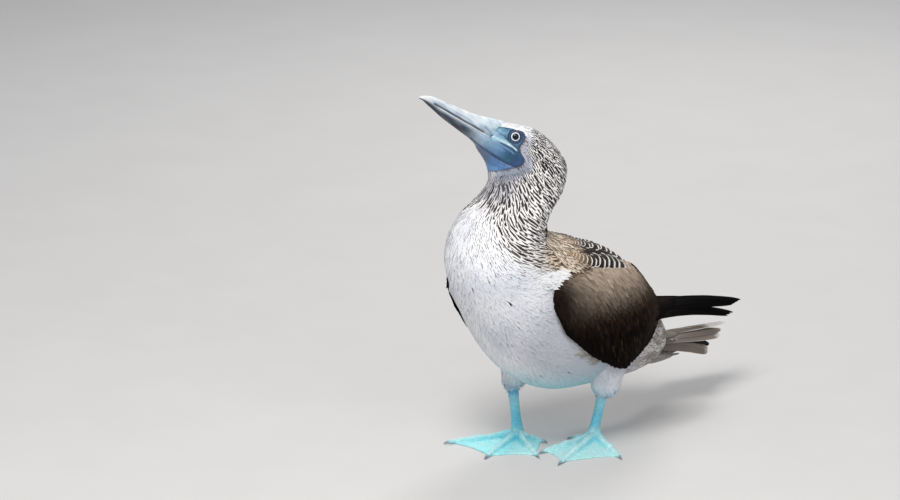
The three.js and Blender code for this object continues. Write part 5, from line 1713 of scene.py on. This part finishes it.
# ------------------------------------------------------------------ eyes
def eye_material():
    m, nt, b = new_mat("eye_wet")
    tint = node(nt, "ShaderNodeVertexColor", layer_name="Tint").outputs["Color"]
    vane = node(nt, "ShaderNodeUVMap", uv_map="Vane").outputs["UV"]
    sep = node(nt, "ShaderNodeSeparateXYZ")
    nt.links.new(vane, sep.inputs[0])
    # spokes of the iris
    ang = math_node(nt, "MULTIPLY", sep.outputs[0], 6.283 * 40)
    n1 = noise_node(nt, 1.0, 3, vane, 0.6, (60, 6, 1))
    spoke = math_node(nt, "MULTIPLY_ADD", math_node(nt, "SINE", math_node(nt, "ADD", ang, math_node(nt, "MULTIPLY", n1, 6.0))), 0.05, 0.97)
    tone = math_node(nt, "MULTIPLY", spoke, math_node(nt, "MULTIPLY_ADD", n1, 0.2, 0.9))
    c = node(nt, "ShaderNodeCombineColor")
    for i in range(3):
        nt.links.new(tone, c.inputs[i])
    nt.links.new(mix_rgb(nt, 1.0, tint, c.outputs[0], "MULTIPLY"), b.inputs["Base Color"])
    b.inputs["Roughness"].default_value = 0.3
    b.inputs["Coat Weight"].default_value = 0.45
    b.inputs["Coat Roughness"].default_value = 0.02
    b.inputs["Specular IOR Level"].default_value = 0.15
    return m


def build_eye(side):
    s = 1 if side == "l" else -1
    c, g, x, y = optical_axis(s)
    th = np.concatenate([np.linspace(0.02, 0.95, 70), np.linspace(1.0, 3.1, 20)])      # from the gaze
    ph = np.linspace(0, 2 * np.pi, 72, endpoint=False)
    T, P = np.meshgrid(th, ph, indexing="ij")
    r = EYE_R + 0.42 * np.exp(-(T / 0.42) ** 2)          # the clear cover bulges a little
    p = c + g * (r * np.cos(T))[..., None] + (x * np.cos(P)[..., None] + y * np.sin(P)[..., None]) * (r * np.sin(T))[..., None]
    v, f = loft(p)
    rho = np.append((EYE_R * np.sin(np.minimum(T, np.pi / 2))).ravel(), [0, 9])
    col = np.tile(srgb(22, 34, 60), (len(v), 1))
    iris = mix(np.tile(srgb(96, 126, 154), (len(v), 1)), srgb(238, 243, 248), smooth(rho, 3.55, 4.0))
    col = mix(col, iris, smooth(rho, 5.0, 4.75))
    col = mix(col, srgb(3, 4, 7), smooth(rho, 3.35, 3.1))
    vane = np.column_stack([np.append(P.ravel() / (2 * np.pi), [0.5, 0.5]), np.append(T.ravel() / np.pi, [0, 1])])
    uvb = np.column_stack([0.945 + 0.02 * (np.append((np.sin(T) * np.cos(P)).ravel(), [0, 0])), 0.35 + (0.04 if s > 0 else 0) + 0.015 * np.append((np.sin(T) * np.sin(P)).ravel(), [0, 0])])
    ob = make_mesh(f"eyeball_{side}", v, f, [EYE_MAT], uvb, vane, {"Tint": col}, sharp=0)
    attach(ob, "root")
    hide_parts(f"eye_{side}")


# ------------------------------------------------------------------ claws
def build_claws():
    mat = horn_material("horn_claw", 0.4, (200, 900, 900))
    order = ["hallux", "inner", "middle", "outer"]
    for side in "lr":
        for i in range(4):
            L = 7.6 * (1.2 if i == 2 else 0.8 if i == 0 else 1)
            ln = TOES[side][i][1]
            rows = [(-2.5, 2.4, 1.5, 1.5), (0.4, 2.6, 1.7, 1.7), (L * 0.25, 2.8, 1.5, 1.6), (L * 0.5, 2.5, 1.2, 1.3), (L * 0.8, 1.6, 0.7, 0.8), (L, 0.65, 0.22, 0.26)]
            pts = [at(*toe_tip(side, i, ln + d), z) for d, z, _, _ in rows]
            rings = tube(pts, [(a, b) for _, _, a, b in rows], 20, 36)
            rings[..., 2] = np.maximum(rings[..., 2], 0.02)
            v, f = loft(rings)
            n = len(v)
            share = np.append(np.repeat(np.linspace(0, 1, 36), 20), [0, 1])
            col = mix(np.tile(srgb(156, 206, 216), (n, 1)), srgb(128, 138, 146), smooth(share, 0.25, 0.8))
            vane = np.column_stack([share * 0.1, np.append(np.tile(np.linspace(0, 1, 20), 36), [0.5, 0.5])])
            x, y = toe_tip(side, i)
            uvb = np.column_stack([0.70 + (v[:, 0] + 110) / 220 * 0.28, 0.02 + (-v[:, 1] + 60) / 220 * 0.28])
            ob = make_mesh(f"nail_{side}_{order[i]}", v, f, [mat], uvb, vane, {"Tint": col}, sharp=60)
            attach(ob, "root")
            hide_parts(f"claw_{side}_{i + 1}")


build_skin()
build_coat()
build_shoulders()
build_thighs()
for _side in "lr":
    build_wing(_side)
    build_scapulars(_side)
    build_primaries(_side)
build_tail()
build_bill(True)
build_bill(False)
EYE_MAT = eye_material()
build_eye("l")
build_eye("r")
build_claws()


# ------------------------------------------------------------------ floor, light and camera
def floor():
    m, nt, b = new_mat("floor_pale")
    n1 = noise_node(nt, 9, 4)
    c = mix_rgb(nt, n1, (0.62, 0.61, 0.60), (0.67, 0.66, 0.65))
    nt.links.new(c, b.inputs["Base Color"])
    b.inputs["Roughness"].default_value = 0.85
    bpy.ops.mesh.primitive_plane_add(size=12, location=(0, 0, 0))
    f = bpy.context.object
    f.name = "floor"
    f.data.materials.append(m)


floor()


def area(name, loc, size, power, color=(1, 1, 1), target=(0, 0, 0.2)):
    l = bpy.data.lights.new(name, "AREA")
    l.energy, l.size, l.color = power, size, color
    o = bpy.data.objects.new(name, l)
    bpy.context.scene.collection.objects.link(o)
    o.location = loc
    o.rotation_euler = (Vector(target) - Vector(loc)).to_track_quat("-Z", "Y").to_euler()
    return o


area("key", (0.5, -1.3, 2.3), 1.0, 49, (1.0, 0.98, 0.95))
area("fill", (2.4, -0.6, 1.2), 1.6, 11, (0.93, 0.96, 1.0))
area("rim", (-1.2, 1.6, 1.9), 1.0, 26, (1.0, 0.98, 0.96))
world = bpy.data.worlds.new("studio")
world.use_nodes = True
world.node_tree.nodes["Background"].inputs[0].default_value = (0.86, 0.9, 0.97, 1)
world.node_tree.nodes["Background"].inputs[1].default_value = 0.34
bpy.context.scene.world = world

cam = bpy.data.cameras.new("camera")
cam.lens, cam.sensor_width, cam.clip_start, cam.clip_end = 158.4, 36, 0.1, 50
camera = bpy.data.objects.new("camera", cam)
bpy.context.scene.collection.objects.link(camera)
camera.location = (2.92247, -3.18770, 1.44791)
camera.rotation_euler = (math.radians(74), 0, math.radians(45))
bpy.context.scene.camera = camera
bpy.context.scene.view_settings.view_transform = "Standard"
bpy.context.scene.view_settings.look = "None"

print("coat triangles in all:", TRIS["n"])
bpy.context.view_layer.update()
